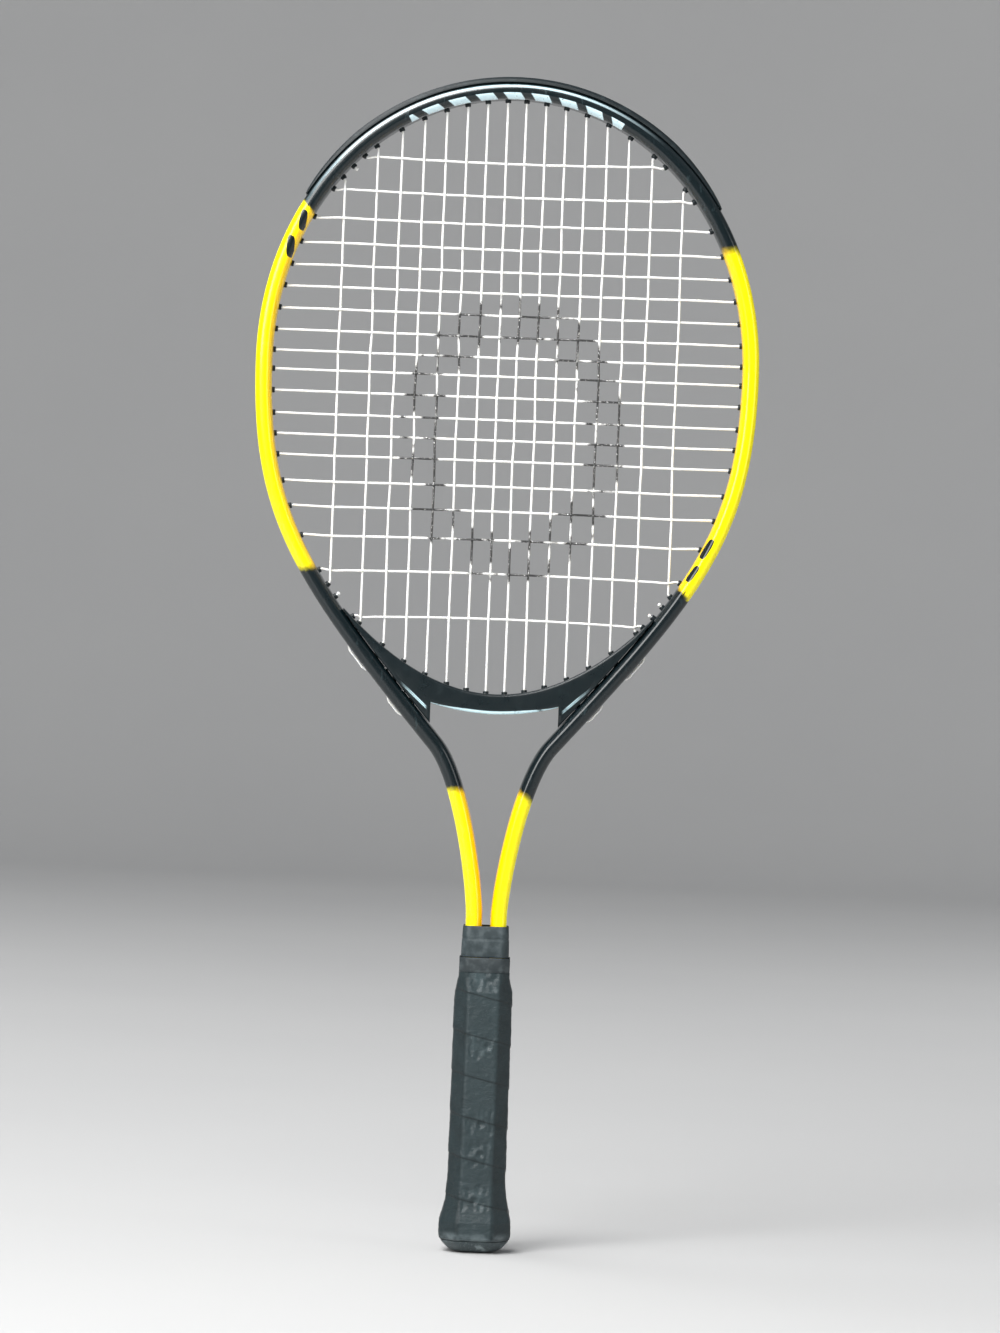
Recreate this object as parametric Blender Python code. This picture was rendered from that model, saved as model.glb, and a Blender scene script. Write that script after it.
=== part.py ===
"""Tennis racket with a bent aluminium hoop, a moulded throat bridge and a one-piece string bed.

The frame of the model: origin at the middle of the butt's flat end, +Z along the handle to
the head, the string bed in the XZ plane and the front face toward -Y. Units are metres.
"""

import math

import bmesh
import bpy
import numpy as np
from mathutils import Vector

MM = 0.001

# Overall sizes
OVERALL_LENGTH = 685 * MM
HEAD_WIDTH = 293.6 * MM  # across the hoop's outer faces
HANDLE_LENGTH = 190 * MM  # butt end to the top of the rubber collar
CLEARANCE = 0.3 * MM  # between pieces that touch

# The bent tube
TUBE_WIDTH = 9.8 * MM  # in the string plane
TUBE_DEPTH = 20 * MM
TUBE_WALL = 1.3 * MM
GROOVE_DEPTH = 2.4 * MM
GROOVE_HALF_WIDTH = 4.0 * MM
TUBE_END_Z = 25 * MM  # how far down the handle the tube's two ends reach
TURN_PER_FACET = math.radians(9)
LONGEST_FACET = 80 * MM

# The shape of the hoop: apex, widest point, waist of the throat, entry into the handle
WIDEST_BELOW_APEX = 160.9 * MM
WAIST_BELOW_APEX = 381.4 * MM
WAIST_HALF_WIDTH = 34.0 * MM
WAIST_LEAN = math.radians(41)
SHAFT_SPACING = 14.4 * MM  # between the two shafts' centrelines in the handle
STRAIGHT_ABOVE_HANDLE = 5 * MM
APEX_FULLNESS = 0.553  # Bezier handle as a share of the span that it bends over
SHOULDER_FULLNESS = 0.574
HIP_FULLNESS = 0.411
THROAT_FULLNESS = 0.576
WAIST_FULLNESS = 0.272
ENTRY_FULLNESS = 0.139

# Bridge across the throat
BRIDGE_DEPTH = 18 * MM
BRIDGE_TOP_BELOW_APEX = 351.5 * MM
BRIDGE_THICKNESS = 11.7 * MM
BRIDGE_TOP_CURVE = 5.8  # its top rises by this times x squared
BRIDGE_UNDER_CURVE = 3.85
BRIDGE_FOOT_HALF_SPAN = 37.5 * MM
BRIDGE_TIP_THICKNESS = 0.9 * MM

# Strings
STRING_DIAMETER = 1.3 * MM
MAIN_GAPS = (10.8, 11.5, 11.6, 12.0, 12.6, 12.8, 14.0, 18.6)  # centre gap first, then outward
MAIN_SPREAD = 0.721  # outermost main string, as a share of the bed's half width
CROSS_GAPS = (19.6, 16.5, 14.5, 13.1, 12.6, 13.0, 12.6, 12.1, 11.0, 12.5, 13.1, 12.0, 12.1, 15.1)
CROSS_GAPS = CROSS_GAPS + (14.5, 16.8, 19.8, 26.4)  # relative gaps, from the top down
FIRST_CROSS_BELOW_BED_TOP = 36.5 * MM
LAST_CROSS_SHARE = 0.85  # it ends this share of the way between the two outermost mains
LANE = 1.85 * MM  # how far the loops outside the hoop run from the string plane
LANE_PROUD = 1.04 * MM  # their centreline above the strip that they lie on
HOLE_LEAN = 0.3  # 0 drills a string hole square to the hoop, 1 along the string
THROAT_HOLE_LEAN = 0.5
LOOP_CORNER = 0.9 * MM  # from a hole's axis to where its loop has turned
LOOP_SETTLE = 3.6 * MM  # and to where it lies in its lane
LOOP_STEP = 12 * MM
KNOT = ((0.1, 1), (0.9, 1), (1.5, 1.9), (3.1, 1.9), (3.7, 0.8))  # mm from the mouth, swelling
MAIN_KNOT_SHARES = (0.36, 0.33)  # left and right, from the outermost main to the last cross
CROSS_KNOT_SHARES = (0.5, 0.67)  # first cross to the outermost main's top, then as above

# Grommets
STRIP_THICKNESS = 0.8 * MM
STRIP_HALF_WIDTH = GROOVE_HALF_WIDTH - CLEARANCE
BARREL_RADIUS = 1.7 * MM
BORE_RADIUS = 1.1 * MM
BARREL_PROUD = 1.5 * MM
HOLE_RADIUS = BARREL_RADIUS + 1.4 * CLEARANCE
BEND_PROUD = 0.8 * MM  # the string bends this far outside its barrel
BUMPER_THICKNESS = 3.3 * MM
BUMPER_HALF_WIDTH = 7.4 * MM
BUMPER_CHANNEL = 2.9 * MM  # half the width between its two ridges
BUMPER_RIDGE = 2.2 * MM
BUMPER_END_SHARE = 0.25  # its thickness at the ends
BUMPER_ROWS = 2  # it covers the ends of this many cross strings
BUMPER_TAPER = 45 * MM
STRIP_END_PAST_HOLE = 9 * MM

# Rivets that hold the bridge
RIVET_SHANK = 1.3 * MM  # radii
RIVET_HEAD = 2.3 * MM
RIVET_HEAD_DEPTH = 0.9 * MM
RIVET_GRIP = 3.6 * MM  # how far it goes into the bridge
HEAD_RELIEF = 3 * MM

# Handle. A pair of a share or millimetres up and millimetres out shapes an outline.
PALLET_SIDE_WALL = 2.6 * MM  # outside the shafts, across the handle
PALLET_FACE_WALL = 3.3 * MM  # and at front and back
PALLET_BEVEL = 6.6 * MM
PALLET_BOTTOM_Z = 4 * MM
PALLET_SHOULDER_DROP = 40 * MM  # below the handle's top
PALLET_NECK_DROP = 30 * MM
PALLET_NECK_WALL = 0.9 * MM
NECK_BEVEL = 3.4 * MM
CAP_HEIGHT = 27 * MM
CAP_FLOOR = 2.4 * MM
CAP_LIP_Z = 7.0 * MM
CAP_FLARE = 4.0 * MM  # how far it stands out past the pallets where it is widest
CAP_WALL = 1.5 * MM
CAP_TOE = ((0, 10.3), (0.8, 6.5), (2.6, 3.2), (4.6, 1.2))  # mm up, and in from the flare
CAP_LIP_PROUD = 0.7 * MM  # the lip that the tape starts on stands out past the flare
CAP_STEP = 0.6 * MM  # and the cap steps in by this much above it
CAP_FLARE_Z = 13 * MM
CAP_TAPER_Z = 18 * MM
TAPE_THICKNESS = 1.8 * MM
TAPE_SWELLS = ((23, 2.6), (30, 1.1), (42, 0))  # mm up, and how far it stands out over the cap
SKIVED_THICKNESS = 0.4 * MM  # the tape's upper end, under the band
TAPE_END = 0.9 * MM  # the step up to full thickness below the band
BAND_THICKNESS = 0.45 * MM
BAND_HEIGHT = 8.5 * MM
BAND_OVER_TAPE = 6.0 * MM
COLLAR_HEIGHT = 18 * MM
COLLAR_WALL = 0.9 * MM
COLLAR_BEVEL = 2.2 * MM
COLLAR_SWELLS = ((0, 0.7), (0.54, 0.45), (0.56, 0.2), (0.62, 0.2), (0.64, 0.3), (1, 0))
STAPLE_WIDTH = 9 * MM
STAPLE_WIRE = 1.0 * MM
STAPLE_Z = 20 * MM
STAPLE_SUNK = 1.4 * MM  # how far its back lies under the cap's surface

HALF_TUBE = TUBE_WIDTH / 2
APEX_Z = OVERALL_LENGTH - BUMPER_THICKNESS - CLEARANCE - HALF_TUBE
WIDEST_Z = APEX_Z - WIDEST_BELOW_APEX
WAIST_Z = APEX_Z - WAIST_BELOW_APEX
BED_HALF_WIDTH = HEAD_WIDTH / 2 - TUBE_WIDTH
BED_TOP_Z = APEX_Z - HALF_TUBE
BRIDGE_TOP_Z = APEX_Z - BRIDGE_TOP_BELOW_APEX
ENTRY_Z = HANDLE_LENGTH + STRAIGHT_ABOVE_HANDLE  # where the shafts start to part
COLLAR_BOTTOM_Z = HANDLE_LENGTH - COLLAR_HEIGHT
PALLET_TOP_Z = COLLAR_BOTTOM_Z - CLEARANCE
SHAFT_ROOM = SHAFT_SPACING / 2 + HALF_TUBE + CLEARANCE  # half width round both shafts
SHAFT_ROOM_DEPTH = TUBE_DEPTH / 2 + CLEARANCE
RIB_HALF_WIDTH = SHAFT_SPACING / 2 - HALF_TUBE - CLEARANCE  # of the pallets' rib between them
PALLET_HALF_WIDTH = SHAFT_ROOM + PALLET_SIDE_WALL
PALLET_HALF_DEPTH = SHAFT_ROOM_DEPTH + PALLET_FACE_WALL
NECK_HALF_WIDTH = SHAFT_ROOM + PALLET_NECK_WALL
NECK_Z = HANDLE_LENGTH - PALLET_NECK_DROP
SHOULDER_Z = HANDLE_LENGTH - PALLET_SHOULDER_DROP
BAND_LOW_Z = PALLET_TOP_Z - BAND_HEIGHT
BASE_LEVEL = CLEARANCE - GROOVE_DEPTH  # strip's underside, measured from the hoop's outer face
LANE_LEVEL = BASE_LEVEL + STRIP_THICKNESS + CLEARANCE + LANE_PROUD

# Finishes: colour, roughness, metallic
FINISHES = {
    "painted_aluminium": ((0.012, 0.016, 0.018, 1), 0.28, 0.1),
    "moulded_black": ((0.014, 0.017, 0.019, 1), 0.45, 0.0),
    "bare_rivet": ((0.62, 0.63, 0.64, 1), 0.3, 1.0),
    "string": ((0.82, 0.82, 0.78, 1), 0.35, 0.0),
    "pallet_foam": ((0.10, 0.10, 0.10, 1), 0.8, 0.0),
    "cap_plastic": ((0.03, 0.035, 0.037, 1), 0.4, 0.0),
    "grip_tape": ((0.045, 0.058, 0.062, 1), 0.6, 0.0),
    "rubber": ((0.05, 0.06, 0.063, 1), 0.7, 0.0),
}


# ---------------------------------------------------------------- scene helpers


def clear_scene():
    """Removes every object that the scene starts with."""
    for obj in list(bpy.data.objects):
        bpy.data.objects.remove(obj, do_unlink=True)


def finish(name):
    """The material of that name, made on first use."""
    if name in bpy.data.materials:
        return bpy.data.materials[name]
    colour, roughness, metallic = FINISHES[name]
    material = bpy.data.materials.new(name)
    material.use_nodes = True
    shader = material.node_tree.nodes["Principled BSDF"]
    shader.inputs["Base Color"].default_value = colour
    shader.inputs["Roughness"].default_value = roughness
    shader.inputs["Metallic"].default_value = metallic
    material.diffuse_color = colour
    return material


def new_object(name, mesh, finish_name=None):
    """Links a mesh as an object, facing outward, with its finish."""
    shape = bmesh.new()
    shape.from_mesh(mesh)
    bmesh.ops.recalc_face_normals(shape, faces=shape.faces)
    if shape.calc_volume(signed=True) < 0:
        bmesh.ops.reverse_faces(shape, faces=shape.faces)
    shape.to_mesh(mesh)
    shape.free()
    obj = bpy.data.objects.new(name, mesh)
    bpy.context.scene.collection.objects.link(obj)
    if finish_name:
        mesh.materials.append(finish(finish_name))
        mesh.shade_smooth()
        mesh.set_sharp_from_angle(angle=math.radians(32))
    return obj


def loft_mesh(name, parts):
    """One mesh from lofts. Each part is (rings, closed): rings of points, capped unless closed."""
    shape = bmesh.new()
    for rings, closed in parts:
        rows = [[shape.verts.new(point) for point in ring] for ring in rings]
        count = len(rows[0])
        pairs = list(zip(rows, rows[1:]))
        if closed:
            pairs.append((rows[-1], rows[0]))
        for low, high in pairs:
            for k in range(count):
                m = (k + 1) % count
                shape.faces.new((low[k], low[m], high[m], high[k]))
        if not closed:
            shape.faces.new(rows[0][::-1])
            shape.faces.new(rows[-1])
    mesh = bpy.data.meshes.new(name)
    shape.to_mesh(mesh)
    shape.free()
    return mesh


def cutter(name, parts):
    """A hidden solid for a Boolean."""
    obj = new_object(name, loft_mesh(name, parts))
    obj.hide_render = True
    obj.display_type = "WIRE"
    return obj


def combine(target, other, operation):
    """Adds a Boolean to the target. The other solid's own bars may run into each other."""
    modifier = target.modifiers.new(other.name, "BOOLEAN")
    modifier.operation = operation
    modifier.object = other
    modifier.use_self = True


# ---------------------------------------------------------------- edge paths


class EdgePath:
    """A faceted curve in the XZ plane with an outward side.

    A place on it is (s, level): s along the curve, level outward from the surface that the
    strings' loops lie along.
    """

    def __init__(self, points, surface):
        points = np.array(points)
        steps = np.diff(points, axis=0)
        self.points = points
        self.s = np.concatenate([[0], np.cumsum(np.hypot(steps[:, 0], steps[:, 1]))])
        tangents = np.gradient(points, axis=0)
        tangents /= np.linalg.norm(tangents, axis=1)[:, None]
        self.normals = np.stack([-tangents[:, 1], tangents[:, 0]], axis=1)
        self.surface = surface
        self.length = self.s[-1]

    def at(self, s, level):
        """The point (x, z) at that place, on the straight facet between two stations."""
        offset = self.points + self.normals * (self.surface + level)
        return np.array([np.interp(s, self.s, offset[:, 0]), np.interp(s, self.s, offset[:, 1])])

    def normal(self, s):
        """The outward direction at s."""
        n = np.array([np.interp(s, self.s, self.normals[:, k]) for k in (0, 1)])
        return n / np.linalg.norm(n)

    def between(self, start, end):
        """The stations from start to end, with both ends."""
        inside = [s for s in self.s if start + 0.5 * MM < s < end - 0.5 * MM]
        return [start] + inside + [end]

    def meet(self, origin, direction, level):
        """Where a ray first meets the curve at that level: (s, distance along the ray), or None."""
        offset = self.points + self.normals * (self.surface + level)
        best = None
        for k in range(len(offset) - 1):
            a, b = offset[k], offset[k + 1]
            along = b - a
            cross = direction[0] * along[1] - direction[1] * along[0]
            if abs(cross) < 1e-12:
                continue
            gap = a - origin
            t = (gap[0] * along[1] - gap[1] * along[0]) / cross
            f = (gap[0] * direction[1] - gap[1] * direction[0]) / cross
            if t > 0 and -1e-6 <= f <= 1 + 1e-6 and (best is None or t < best[1]):
                best = (self.s[k] + f * (self.s[k + 1] - self.s[k]), t)
        return best


def bezier(a, b, c, d, count=160):
    """Points on a cubic Bezier, without the last."""
    t = np.linspace(0, 1, count, endpoint=False)[:, None]
    return (1 - t) ** 3 * a + 3 * (1 - t) ** 2 * t * b + 3 * (1 - t) * t * t * c + t**3 * d


def hoop_path():
    """The tube's centreline from the left shaft's end over the head to the right shaft's end."""
    apex = np.array([0, APEX_Z])
    widest = np.array([HEAD_WIDTH / 2 - HALF_TUBE, WIDEST_Z])
    waist = np.array([WAIST_HALF_WIDTH, WAIST_Z])
    entry = np.array([SHAFT_SPACING / 2, ENTRY_Z])
    end = np.array([SHAFT_SPACING / 2, TUBE_END_Z])
    across, up = np.array([1, 0]), np.array([0, 1])
    lean = np.array([math.sin(WAIST_LEAN), math.cos(WAIST_LEAN)])
    crown, flank, throat = widest[0], WIDEST_Z - WAIST_Z, WAIST_Z - ENTRY_Z
    half = np.vstack(
        [
            bezier(
                apex,
                apex + across * APEX_FULLNESS * crown,
                widest + up * SHOULDER_FULLNESS * WIDEST_BELOW_APEX,
                widest,
            ),
            bezier(
                widest,
                widest - up * HIP_FULLNESS * flank,
                waist + lean * THROAT_FULLNESS * flank,
                waist,
            ),
            bezier(
                waist,
                waist - lean * WAIST_FULLNESS * throat,
                entry + up * ENTRY_FULLNESS * throat,
                entry,
            ),
            np.linspace(entry, end, 80),
        ]
    )
    steps = np.diff(half, axis=0)
    lengths = np.hypot(steps[:, 0], steps[:, 1])
    angles = np.unwrap(np.arctan2(steps[:, 1], steps[:, 0]))
    turns = np.abs(np.diff(angles, prepend=angles[0]))
    measure = np.concatenate([[0], np.cumsum(turns / TURN_PER_FACET + lengths / LONGEST_FACET)])
    count = math.ceil(measure[-1])
    marks = np.linspace(0, measure[-1], count + 1)
    right = np.stack([np.interp(marks, measure, half[:, k]) for k in (0, 1)], axis=1)
    left = right[1:][::-1] * [-1, 1]
    return EdgePath(np.vstack([left, right]), HALF_TUBE)


def sagging_path(middle_z, curve, half_span, outward_down):
    """A parabola that sags to middle_z at x = 0, with its outward side up or down."""
    x = np.linspace(-half_span, half_span, 41)
    points = np.stack([x, middle_z + curve * x**2], axis=1)
    return EdgePath(points[::-1] if outward_down else points, 0)


# ---------------------------------------------------------------- string holes


class Hole:
    """One string hole: its axis, its mouth inside the head and its way out into the lane."""

    def __init__(self, path, bend, axis):
        self.path = path
        self.bend = bend
        self.axis = axis
        self.mouth = bend + axis * BEND_PROUD
        self.base = self.point_at(BASE_LEVEL + STRIP_THICKNESS / 2)
        self.s, reach = path.meet(bend, axis, LANE_LEVEL)
        self.exit = bend + axis * reach

    def point_at(self, level):
        """The point on the axis at that level."""
        return self.bend + self.axis * self.path.meet(self.bend, self.axis, level)[1]


def unit(vector):
    """The vector at length one."""
    return vector / np.linalg.norm(vector)


class StringBed:
    """Where the strings run and where they pass through the hoop and the bridge."""

    def __init__(self, hoop):
        self.hoop = hoop
        under_z = BRIDGE_TOP_Z - BRIDGE_THICKNESS
        self.top = sagging_path(BRIDGE_TOP_Z, BRIDGE_TOP_CURVE, BED_HALF_WIDTH, False)
        self.under = sagging_path(under_z, BRIDGE_UNDER_CURVE, BRIDGE_FOOT_HALF_SPAN, True)
        widths = np.cumsum([MAIN_GAPS[0] / 2] + list(MAIN_GAPS[1:]))
        widths = widths / widths[-1] * MAIN_SPREAD * BED_HALF_WIDTH
        self.main_x = list(-widths[::-1]) + list(widths)
        self.main_tops = [self.hole((x, WIDEST_Z), (0, 1)) for x in self.main_x]
        self.main_bottoms = [self.lower_hole(column) for column in range(len(self.main_x))]
        drops = np.cumsum([0] + list(CROSS_GAPS))
        high = BED_TOP_Z - FIRST_CROSS_BELOW_BED_TOP
        end_x = self.main_x[-1] + LAST_CROSS_SHARE * (self.main_x[-2] - self.main_x[-1])
        low = self.hole((end_x, WIDEST_Z), (0, -1)).bend[1]
        self.cross_z = [high + (low - high) * drop / drops[-1] for drop in drops]
        self.cross_lefts = [self.hole((0, z), (-1, 0)) for z in self.cross_z]
        self.cross_rights = [self.hole((0, z), (1, 0)) for z in self.cross_z]
        last = self.cross_lefts[-1], self.cross_rights[-1]
        self.main_knots = (
            self.knot_hole(self.main_bottoms[0], last[0], MAIN_KNOT_SHARES[0]),
            self.knot_hole(self.main_bottoms[-1], last[1], MAIN_KNOT_SHARES[1]),
        )
        self.cross_knots = (
            self.knot_hole(self.cross_lefts[0], self.main_tops[0], CROSS_KNOT_SHARES[0]),
            self.knot_hole(self.main_bottoms[-1], last[1], CROSS_KNOT_SHARES[1]),
        )

    def lower_hole(self, column):
        """A main's lower hole. Two mains that a loop joins both leave by the bridge, or neither."""
        partner = min(max(column + (1 if column % 2 else -1), 0), len(self.main_x) - 1)
        reach = max(abs(self.main_x[column]), abs(self.main_x[partner]))
        inside_feet = reach + BARREL_RADIUS < BRIDGE_FOOT_HALF_SPAN
        return self.hole((self.main_x[column], WIDEST_Z), (0, -1), inside_feet)

    def hole(self, origin, direction, inside_feet=False):
        """The hole where a string's line leaves the bed, through the hoop, the bridge or both."""
        origin, direction = np.array(origin), np.array(direction)
        stand_off = BARREL_PROUD + BEND_PROUD
        _, side = self.hoop.meet(origin, direction, -TUBE_WIDTH - stand_off)
        drop = self.top.meet(origin, direction, stand_off)
        reach = side if drop is None else min(side, drop[1])
        bend = origin + direction * reach
        if inside_feet:
            return Hole(self.under, bend, direction)
        s, _ = self.hoop.meet(bend, direction, 0)
        lean = HOLE_LEAN if direction[1] >= 0 or side - reach < 3 * MM else THROAT_HOLE_LEAN
        return Hole(self.hoop, bend, unit(lean * direction + (1 - lean) * self.hoop.normal(s)))

    def knot_hole(self, first, second, share):
        """The tie-off hole that share of the way from one hole to another."""
        out = self.hoop.at(first.s + (second.s - first.s) * share, 0)
        axis = unit((1 - share) * first.axis + share * second.axis)
        inward = out - axis * 3 * TUBE_WIDTH
        _, side = self.hoop.meet(inward, axis, -TUBE_WIDTH - BARREL_PROUD - BEND_PROUD)
        drop = self.top.meet(inward, axis, BARREL_PROUD + BEND_PROUD)
        reach = side if drop is None else min(side, drop[1])
        return Hole(self.hoop, inward + axis * reach, axis)

    def all_holes(self):
        """Every hole once."""
        groups = (self.main_tops, self.main_bottoms, self.cross_lefts, self.cross_rights)
        return [h for group in groups for h in group] + list(self.main_knots + self.cross_knots)

    def hoop_holes(self):
        """The holes that pass through the hoop."""
        return [hole for hole in self.all_holes() if hole.path is self.hoop]

    def bridge_holes(self):
        """The holes that pass through the bridge alone."""
        return [hole for hole in self.main_bottoms if hole.path is self.under]

    def shared_holes(self):
        """The holes that pass through the bridge's ends and then the hoop."""
        low = BRIDGE_TOP_Z + BRIDGE_TOP_CURVE * BED_HALF_WIDTH**2
        return [hole for hole in self.hoop_holes() if hole.mouth[1] < low and self.in_bridge(hole)]

    def in_bridge(self, hole):
        """Whether the hole's mouth stands on the bridge and not on the hoop."""
        _, side = self.hoop.meet(hole.bend, hole.axis, -TUBE_WIDTH)
        return side > BARREL_PROUD + BEND_PROUD + CLEARANCE


def prism(start, end, radius, sides=6, end_radius=None):
    """A bar between two XZ points, as rings for a loft."""
    axis = unit(end - start)
    side = np.array([-axis[1], axis[0]])
    rings = []
    for centre, size in ((start, radius), (end, radius if end_radius is None else end_radius)):
        ring = []
        for k in range(sides):
            angle = 2 * math.pi * k / sides
            flat = centre + side * size * math.cos(angle)
            ring.append(Vector((flat[0], size * math.sin(angle), flat[1])))
        rings.append(ring)
    return rings


# ---------------------------------------------------------------- hoop, bridge, rivets


def mirrored(half):
    """A section's (level, y) half, from its outer side on the front, closed with its mirror image."""
    return half + [(level, -y) for level, y in reversed(half)]


def tube_section():
    """The outside of the tube, as (level, y), where the level of the outer face is 0."""
    d = TUBE_DEPTH / 2
    w = TUBE_WIDTH
    return mirrored(
        [
            (-GROOVE_DEPTH, -GROOVE_HALF_WIDTH),
            (0, -GROOVE_HALF_WIDTH - 0.2 * MM),
            (-0.02 * w, -0.72 * d),
            (-0.25 * w, -0.97 * d),
            (-0.68 * w, -d),
            (-0.94 * w, -0.74 * d),
            (-w, -0.3 * d),
        ]
    )


def bore_section():
    """The inside of the tube, a wall's thickness inside the outside."""
    d = TUBE_DEPTH / 2
    w = TUBE_WIDTH
    t = TUBE_WALL
    return mirrored(
        [
            (-GROOVE_DEPTH - t, -GROOVE_HALF_WIDTH - t),
            (-0.25 * w - 0.5 * t, -0.97 * d + 1.2 * t),
            (-0.66 * w, -d + 1.1 * t),
            (-w + 1.1 * t, -0.6 * d),
        ]
    )


def swept(path, stations, section):
    """Rings of a section (a list, or a function of s) along an edge path."""
    rings = []
    for s in stations:
        outline = section(s) if callable(section) else section
        ring = []
        for level, y in outline:
            x, z = path.at(s, level)
            ring.append(Vector((x, y, z)))
        rings.append(ring)
    return rings


def rivet_places(bed):
    """(outer point, axis) of each rivet: between the string holes nearest the bridge's feet."""
    mains = [hole for hole in bed.main_bottoms if hole.path is bed.hoop]
    middle = len(mains) // 2
    left, right = mains[:middle][::-1][:3], mains[middle:][:3]
    places = []
    for side in (left, right):
        for first, second in zip(side, side[1:]):
            seat = bed.hoop.at((first.s + second.s) / 2, -GROOVE_DEPTH)
            places.append((seat, unit(first.axis + second.axis)))
    return places


def rivet_rings(bed, place, slack=0, relief=0):
    """A countersunk rivet from the groove's floor into the bridge, larger by slack all round."""
    top, axis = place
    wall = bed.hoop.meet(top - axis * 2 * TUBE_WIDTH, axis, -TUBE_WIDTH)[1]
    depth = 2 * TUBE_WIDTH - wall + CLEARANCE + RIVET_GRIP + slack
    neck = top - axis * RIVET_HEAD_DEPTH
    head = prism(top + axis * relief, neck, RIVET_HEAD + slack, 8, RIVET_SHANK + slack)
    shank = prism(top, top - axis * depth, RIVET_SHANK + slack, 8)
    rings = [head[0], head[1], shank[1]]
    if relief:
        rings.insert(1, prism(top, neck, RIVET_HEAD + slack, 8)[0])
    return rings


def rivet_drills(bed):
    """The countersunk holes for the rivets, open above their heads."""
    return [(rivet_rings(bed, place, CLEARANCE, HEAD_RELIEF), False) for place in rivet_places(bed)]


def make_hoop(bed):
    """The tube: a swept outside, bored along its length and drilled for strings and rivets."""
    hoop = bed.hoop
    stations = list(hoop.s)
    tube = new_object(
        "frame_tube",
        loft_mesh("frame_tube", [(swept(hoop, stations, tube_section()), False)]),
        "painted_aluminium",
    )
    bore = swept(hoop, stations, bore_section())
    for ring in (bore[0], bore[-1]):
        for point in ring:
            point.z -= 5 * MM
    combine(tube, cutter("bore", [(bore, False)]), "DIFFERENCE")
    drills = []
    for hole in bed.hoop_holes():
        drills.append((prism(hole.mouth, hole.point_at(LANE_LEVEL), HOLE_RADIUS), False))
    drills += rivet_drills(bed)
    combine(tube, cutter("tube_drills", drills), "DIFFERENCE")
    return tube


def bridge_outline(bed):
    """The bridge's outline in the XZ plane: top arc, seat against the hoop, foot and under arc."""
    hoop, top, under = bed.hoop, bed.top, bed.under
    seat = -TUBE_WIDTH - CLEARANCE
    outward = unit(np.array([1, -1]))
    s_tip = top.length / 2
    reach = hoop.meet(top.at(s_tip, 0), outward, seat)
    while reach[1] > BRIDGE_TIP_THICKNESS:
        s_tip += 0.5 * MM
        reach = hoop.meet(top.at(s_tip, 0), outward, seat)
    foot = np.array([BRIDGE_FOOT_HALF_SPAN, BRIDGE_TOP_Z])
    s_foot = hoop.meet(foot, np.array([0, -1]), seat)[0]
    right = [top.at(s, 0) for s in np.linspace(top.length / 2, s_tip, 10)]
    right += [hoop.at(s, seat) for s in hoop.between(reach[0], s_foot)]
    right += [under.at(s, 0) for s in np.linspace(0, under.length / 2, 6)]
    left = [point * [-1, 1] for point in reversed(right[1:-1])]
    return right + left


def make_bridge(bed):
    """The bridge, with a groove under it for the strings' loops and holes for strings and rivets."""
    outline = bridge_outline(bed)
    rings = []
    for y in (-BRIDGE_DEPTH / 2, BRIDGE_DEPTH / 2):
        rings.append([Vector((x, y, z)) for x, z in outline])
    mesh = loft_mesh("throat_bridge", [(rings, False)])
    bridge = new_object("throat_bridge", mesh, "moulded_black")
    spread = max(abs(hole.bend[0]) for hole in bed.bridge_holes()) + 3.2 * MM
    under = bed.under
    middle = under.length / 2
    groove = [
        (-GROOVE_DEPTH, -GROOVE_HALF_WIDTH),
        (4 * MM, -GROOVE_HALF_WIDTH),
        (4 * MM, GROOVE_HALF_WIDTH),
        (-GROOVE_DEPTH, GROOVE_HALF_WIDTH),
    ]
    stations = np.linspace(middle - spread, middle + spread, 9)
    cut = [(swept(under, stations, groove), False)]
    combine(bridge, cutter("bridge_groove", cut), "DIFFERENCE")
    drills = []
    for hole in bed.bridge_holes() + bed.shared_holes():
        drills.append((prism(hole.mouth, hole.point_at(LANE_LEVEL), HOLE_RADIUS), False))
    drills += rivet_drills(bed)
    combine(bridge, cutter("bridge_drills", drills), "DIFFERENCE")
    return bridge


def make_rivets(bed):
    """One countersunk rivet for each place."""
    for number, place in enumerate(rivet_places(bed), 1):
        name = f"bridge_rivet_{number}"
        mesh = loft_mesh(name, [(rivet_rings(bed, place), False)])
        new_object(name, mesh, "bare_rivet")


# ---------------------------------------------------------------- grommets


def strip_section():
    """A plain strip in the groove."""
    top = BASE_LEVEL + STRIP_THICKNESS
    w = STRIP_HALF_WIDTH
    return [(BASE_LEVEL, -w), (top, -w), (top, w), (BASE_LEVEL, w)]


def bumper_section(bed):
    """The guard's section as a function of s: a channel whose sides thin out toward its ends."""
    start, end = bumper_range(bed)

    def outline(s):
        margin = min(s - start, end - s) / BUMPER_TAPER
        ease = BUMPER_END_SHARE + (1 - BUMPER_END_SHARE) * min(1, max(0, margin)) ** 0.6
        foot = CLEARANCE
        top = foot + BUMPER_THICKNESS * ease
        return mirrored(
            [
                (BASE_LEVEL, -STRIP_HALF_WIDTH),
                (foot, -STRIP_HALF_WIDTH),
                (foot, -BUMPER_HALF_WIDTH),
                (foot + 0.6 * BUMPER_THICKNESS * ease, -BUMPER_HALF_WIDTH + 0.4 * MM),
                (top, -BUMPER_CHANNEL - BUMPER_RIDGE),
                (top - 0.3 * MM * ease, -BUMPER_CHANNEL),
                (BASE_LEVEL + STRIP_THICKNESS, -BUMPER_CHANNEL),
            ]
        )

    return outline


def bumper_range(bed):
    """Where along the hoop the guard starts and ends, half way between two string holes."""
    inside, outside = bed.cross_rights[BUMPER_ROWS - 1], bed.cross_rights[BUMPER_ROWS]
    end = (inside.s + outside.s) / 2
    return bed.hoop.length - end, end


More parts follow.
